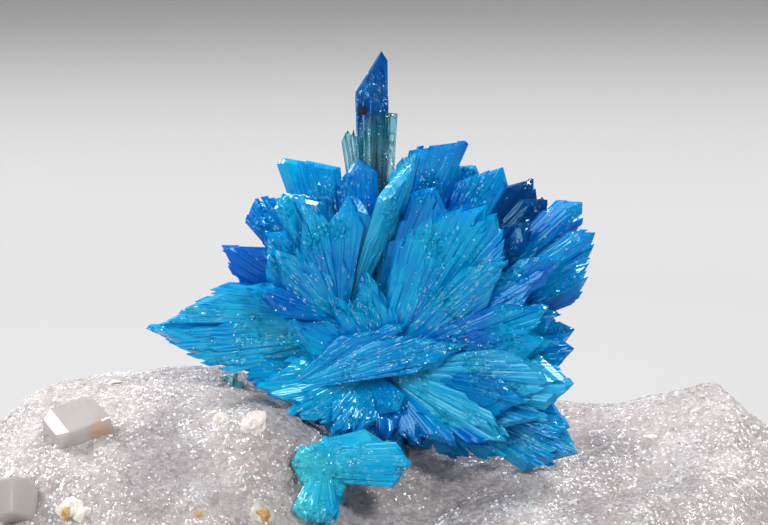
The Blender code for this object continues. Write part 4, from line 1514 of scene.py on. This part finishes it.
LUMPS = (
    Lump((255, 424), 0.85, Mineral.CHALK),
    Lump((219, 420), 0.6, Mineral.CHALK, 0.4),
    Lump((262, 513), 0.85, Mineral.CHALK),
    Lump((263, 516), 0.5, Mineral.OCHRE, 1.0),
    Lump((70, 508), 0.85, Mineral.CHALK),
    Lump((80, 514), 0.6, Mineral.CHALK),
    Lump((68, 514), 0.42, Mineral.OCHRE, 1.0),
    Lump((199, 514), 0.24, Mineral.OCHRE),
    Lump((114, 383), 0.5, Mineral.CHALK),
    Lump((572, 503), 0.4, Mineral.CHALK),
    Lump((652, 437), 0.3, Mineral.CHALK),
    Lump((232, 382), 0.45, Mineral.TEAL, 1.3),
    Lump((240, 387), 0.3, Mineral.TEAL, 1.2),
    Lump((225, 380), 0.24, Mineral.TEAL, 1.2),
)
SPIRE_LUMPS = (Lump((363, 111), 0.28, Mineral.DARK, 0.3),)


@dataclass
class Lumps:
    """Small lumps of minerals that sit on a piece."""

    ground: bpy.types.Object
    spots: tuple[Lump, ...] = LUMPS
    made: list[bpy.types.Object] = field(default_factory=list)

    def build(self, finishes: dict[Mineral, bpy.types.Material]) -> None:
        """Makes each lump where the line of sight through its pixel meets the piece.

        Args:
            finishes: The material of each mineral.
        """
        surface = BVHTree.FromObject(self.ground, bpy.context.evaluated_depsgraph_get())
        for mineral in dict.fromkeys(lump.mineral for lump in self.spots):
            shape = bmesh.new()
            for number, lump in enumerate(self.spots):
                if lump.mineral is mineral:
                    self.add_lump(shape, surface, lump, number)
            mesh = bpy.data.meshes.new(mineral.name.lower())
            shape.to_mesh(mesh)
            shape.free()
            mesh.materials.append(finishes[mineral])
            self.made.append(put(f"lumps_{mineral.name.lower()}", mesh))

    @staticmethod
    def add_lump(shape: bmesh.types.BMesh, surface: BVHTree, lump: Lump, seed: int) -> None:
        """Adds one uneven lump, half sunk in the piece.

        Args:
            shape: The mesh to add it to.
            surface: The piece's surface.
            lump: The lump.
            seed: Which uneven shape it gets.
        """
        eye, sight = Studio().sight(lump.pixel)
        spot, normal, _, _ = surface.ray_cast(eye, sight)
        if spot is None:
            return
        turn = normal.to_track_quat("Z", "Y").to_matrix()
        made = bmesh.ops.create_icosphere(shape, subdivisions=3, radius=1.0)
        for vertex in made["verts"]:
            rough = 1 + 0.5 * noise.noise(vertex.co * 1.3 + Vector((seed, 0, 0)))
            rough += 0.16 * noise.noise(vertex.co * 4 + Vector((0, seed, 0)))
            local = vertex.co * rough * (lump.size / 2 * MM)
            local.z *= lump.squash
            vertex.co = spot + turn @ local

    def dress(self) -> None:
        """Puts the lumps on the frame."""
        for piece in self.made:
            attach(piece, "root")


# Studio


@dataclass(frozen=True)
class Lamp:
    """A square lamp: its place and side in millimetres, its power in watts and its beam in degrees."""

    name: str
    place: tuple[float, float, float]
    size: float
    power: float
    colour: tuple[float, float, float] = (1.0, 1.0, 1.0)
    spread: float = 180

    def build(self, target: Vector) -> None:
        """Hangs the lamp.

        Args:
            target: What it faces, in millimetres.
        """
        lamp = bpy.data.lights.new(self.name, "AREA")
        lamp.size = self.size * MM
        lamp.energy = self.power
        lamp.color = self.colour
        lamp.spread = math.radians(self.spread)
        made = put(self.name, lamp)
        made.location = Vector(self.place) * MM
        towards = (target - Vector(self.place)).normalized()
        made.rotation_euler = towards.to_track_quat("-Z", "Y").to_euler()


LAMPS = (
    Lamp("key", (260, -320, 420), 120, 1.75, (1.0, 0.98, 0.95)),
    Lamp("fill", (-300, -420, 240), 300, 1.5, (0.97, 0.98, 1.0)),
    Lamp("rim", (160, 220, 300), 120, 0.16, spread=60),
    Lamp("back left", (-260, 150, 260), 120, 0.2, spread=60),
)


@dataclass(frozen=True)
class Studio:
    """A pale floor that curves up behind, painted darker near the specimen and paler far off, soft lights and the
    camera. Sizes are in millimetres.
    """

    target: Vector = Vector((0.0, 0.0, 8.3))
    rise: float = 3.45
    distance: float = 105.0
    frame_width: float = 25.6
    sensor: float = 36.0
    photo_width: int = 768
    photo_height: int = 525
    floor_front: float = -900.0
    floor_back: float = 600.0
    floor_side: float = 900.0
    wall_curve: float = 120.0
    wall_steps: int = 24
    wall_top: float = 700.0
    # Painted shade near the specimen and painted light far off, on the floor's colour.
    near: tuple[float, float, float] = (0.39, 0.39, 0.395)
    far: tuple[float, float, float] = (0.8, 0.8, 0.805)
    sky: tuple[float, float, float] = (0.85, 0.88, 0.92)

    def sight(self, pixel: tuple[float, float]) -> tuple[Vector, Vector]:
        """The camera's place in metres, and the direction through one pixel of the photograph.

        Args:
            pixel: Its place from the left and from the top.

        Returns:
            The place and the direction.
        """
        right, up, towards = photo_axes()
        size = self.frame_width / self.photo_width
        across = (pixel[0] - self.photo_width / 2) * size
        high = (self.photo_height / 2 - pixel[1]) * size
        eye = self.target + up * self.rise + towards * self.distance
        return eye * MM, (right * across + up * high - towards * self.distance).normalized()

    def floor(self) -> None:
        """The floor and its curved backdrop, with painted shade near the specimen and painted light far off, which
        even out the lamps' fall-off.
        """
        material, tree, shader = shader_of("pale paper")
        # Painted light and shade: darker within 60 mm of the middle, paler towards 300 mm, evening out the lamps.
        painted_light_by_distance = tree.ranged(tree.length(tree.place()), 60 * MM, 300 * MM)
        tree.plug(shader.inputs["Base Color"], tree.blend(painted_light_by_distance, self.near, self.far))
        shader.inputs["Roughness"].default_value = 0.9
        back, curve, side = self.floor_back, self.wall_curve, self.floor_side
        profile = [(self.floor_front, 0.0), (back, 0.0)]
        turns = [math.pi / 2 * step / self.wall_steps for step in range(1, self.wall_steps + 1)]
        profile += [(back + curve * math.sin(turn), curve - curve * math.cos(turn)) for turn in turns]
        profile += [(back + curve, self.wall_top)]
        spots = [(x * MM, y * MM, z * MM) for x in (-side, side) for y, z in profile]
        count = len(profile)
        faces = [(number, number + 1, count + number + 1, count + number) for number in range(count - 1)]
        mesh = bpy.data.meshes.new("floor")
        mesh.from_pydata(spots, [], [tuple(reversed(face)) for face in faces])
        mesh.materials.append(material)
        mesh.shade_smooth()
        made = put("floor", mesh)

    def lights(self) -> None:
        """Key, fill and two rim lamps, with a pale sky."""
        for lamp in LAMPS:
            lamp.build(self.target)
        world = bpy.data.worlds.new("pale sky")
        world.use_nodes = True
        fixed(world.node_tree.nodes["Background"], {"Color": (*self.sky, 1), "Strength": 0.15})
        bpy.context.scene.world = world

    def camera(self) -> None:
        """The camera, which looks down at the specimen by the photograph's angle."""
        _, up, towards = photo_axes()
        lens = bpy.data.cameras.new("camera")
        lens.sensor_width = self.sensor
        lens.lens = self.sensor * self.distance / self.frame_width
        lens.clip_start = 0.001
        made = put("camera", lens)
        middle = self.target + up * self.rise
        made.location = (middle + towards * self.distance) * MM
        made.rotation_euler = (-towards).to_track_quat("-Z", "Y").to_euler()
        bpy.context.scene.camera = made
        bpy.context.scene.view_settings.view_transform = "Standard"


def main() -> None:
    """Builds every piece in order, and reports each."""
    logging.basicConfig(level=logging.INFO)
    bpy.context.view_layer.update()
    groups = Groups()
    tree = sheaf_tree()
    blue = BlueCrystal("pentagonite blue", (0.0, 0.18, 0.78), (0.0, 0.56, 1.0)).made(groups)
    sea = BlueCrystal("pentagonite light", (0.0, 0.55, 1.0), (0.08, 0.85, 1.0), density=400.0).made(groups)
    looks = {"transmission": 0.75, "fleck_and_glint_share": 0.45, "density": 600.0, "below": (0.4, 0.9, 1.0)}
    royal = BlueCrystal("pentagonite royal", (0.0, 0.16, 0.6), (0.02, 0.36, 0.85), **looks).made(groups)
    looks = {"transmission": 0.92, "fleck_and_glint_share": 0.35, "density": 420.0, "absorbs": (0.1, 0.8, 0.95)}
    clear = BlueCrystal("pentagonite clear", (0.02, 0.5, 0.7), (0.7, 0.95, 1.0), roughness=0.05, **looks).made(groups)
    parts = (
        (Spray("west_fan", "main_spray", WEST_BLADES), blue),
        (Spray("crown_fan", "main_spray", TOP_BLADES), blue),
        (Spray("east_fan", "main_spray", EAST_BLADES), blue),
        (Spray("front_fan", "main_spray", FRONT_BLADES, knots=MAIN_KNOTS), blue),
        (Spray("foot_fan", "main_spray", LOW_BLADES), blue),
        (Spray("far_fan", "main_spray", FarSide().blades()), blue),
        (Spray("spire_blade", "main_spray", SPIRE_BLADE, (SHEET, RIBS)), royal),
        (Spray("spire_columns", "main_spray", SPIRE_COLUMNS, (COLUMNS,)), clear),
        (Spray("small_fan", "small_spray", SMALL_BLADES, knots=SMALL_KNOTS), sea),
    )
    for spray, finish in parts:
        spray.build(tree, finish)
        spray.dress()
        LOG.info("%s: %d faces", spray.name, len(spray.made[0].data.polygons))
    bed = Bed()
    druse = Druse("druse").made(groups)
    point = Druse("quartz point", light=(0.66, 0.62, 0.61), shade=(0.52, 0.48, 0.48), roughness=0.1).made(groups)
    bed.build(druse, point)
    bed.dress()
    blocks = PaleBlocks()
    blocks.build(bed.made[0], PaleGlass("pale block").made(groups))
    blocks.dress()
    specks = []
    frost = frost_and_glint_tree()
    # White chips: partly frost and dust specks, partly painted glints.
    frost_and_glint_white = Chalk("frost", (0.95, 0.98, 1.0), 0.2).made(groups)
    dense = {"Chips per square metre": 45.0e6, "Bare share": 0.56, "Patch size": 0.7 * MM}
    for spray, _ in parts:
        settings = dense if spray.name.startswith("spire") else {}
        specks.append(FrostAndGlints(f"{spray.name}_frost", spray.made[0], spray.node, "pentagonite", settings))
    crust = {"Chips per square metre": 26.0e6, "Bare share": 0.52, "Patch size": 1.6 * MM, "Largest": 0.16 * MM}
    specks.append(FrostAndGlints("matrix_sparkles", bed.made[0], "matrix", "drusy_matrix", crust))
    for speck in specks:
        speck.build(frost, frost_and_glint_white)
        speck.dress()
        LOG.info("%s: %d faces", speck.name, len(speck.made[0].data.polygons))
    lumps = Lumps(bed.made[0])
    spire = next(spray for spray, _ in parts if spray.name == "spire_blade")
    inclusion = Lumps(spire.made[0], SPIRE_LUMPS)
    looks = {"transmission": 0.5, "density": 300.0}
    finishes = {
        Mineral.CHALK: Chalk("white chalk", (0.76, 0.72, 0.66)).made(groups),
        Mineral.OCHRE: Chalk("ochre", (0.62, 0.38, 0.14)).made(groups),
        Mineral.TEAL: BlueCrystal("pentagonite teal", (0.2, 0.6, 0.7), (0.5, 0.86, 0.9), **looks).made(groups),
        Mineral.DARK: Chalk("dark inclusion", (0.002, 0.004, 0.01), 0.5).made(groups),
    }
    for group in (lumps, inclusion):
        group.build(finishes)
        group.dress()
    for piece in [*bed.made, *blocks.made, *lumps.made, *inclusion.made]:
        LOG.info("%s: %d faces", piece.name, len(piece.data.polygons))
    studio = Studio()
    studio.floor()
    studio.lights()
    studio.camera()


if __name__ == "__main__":
    main()
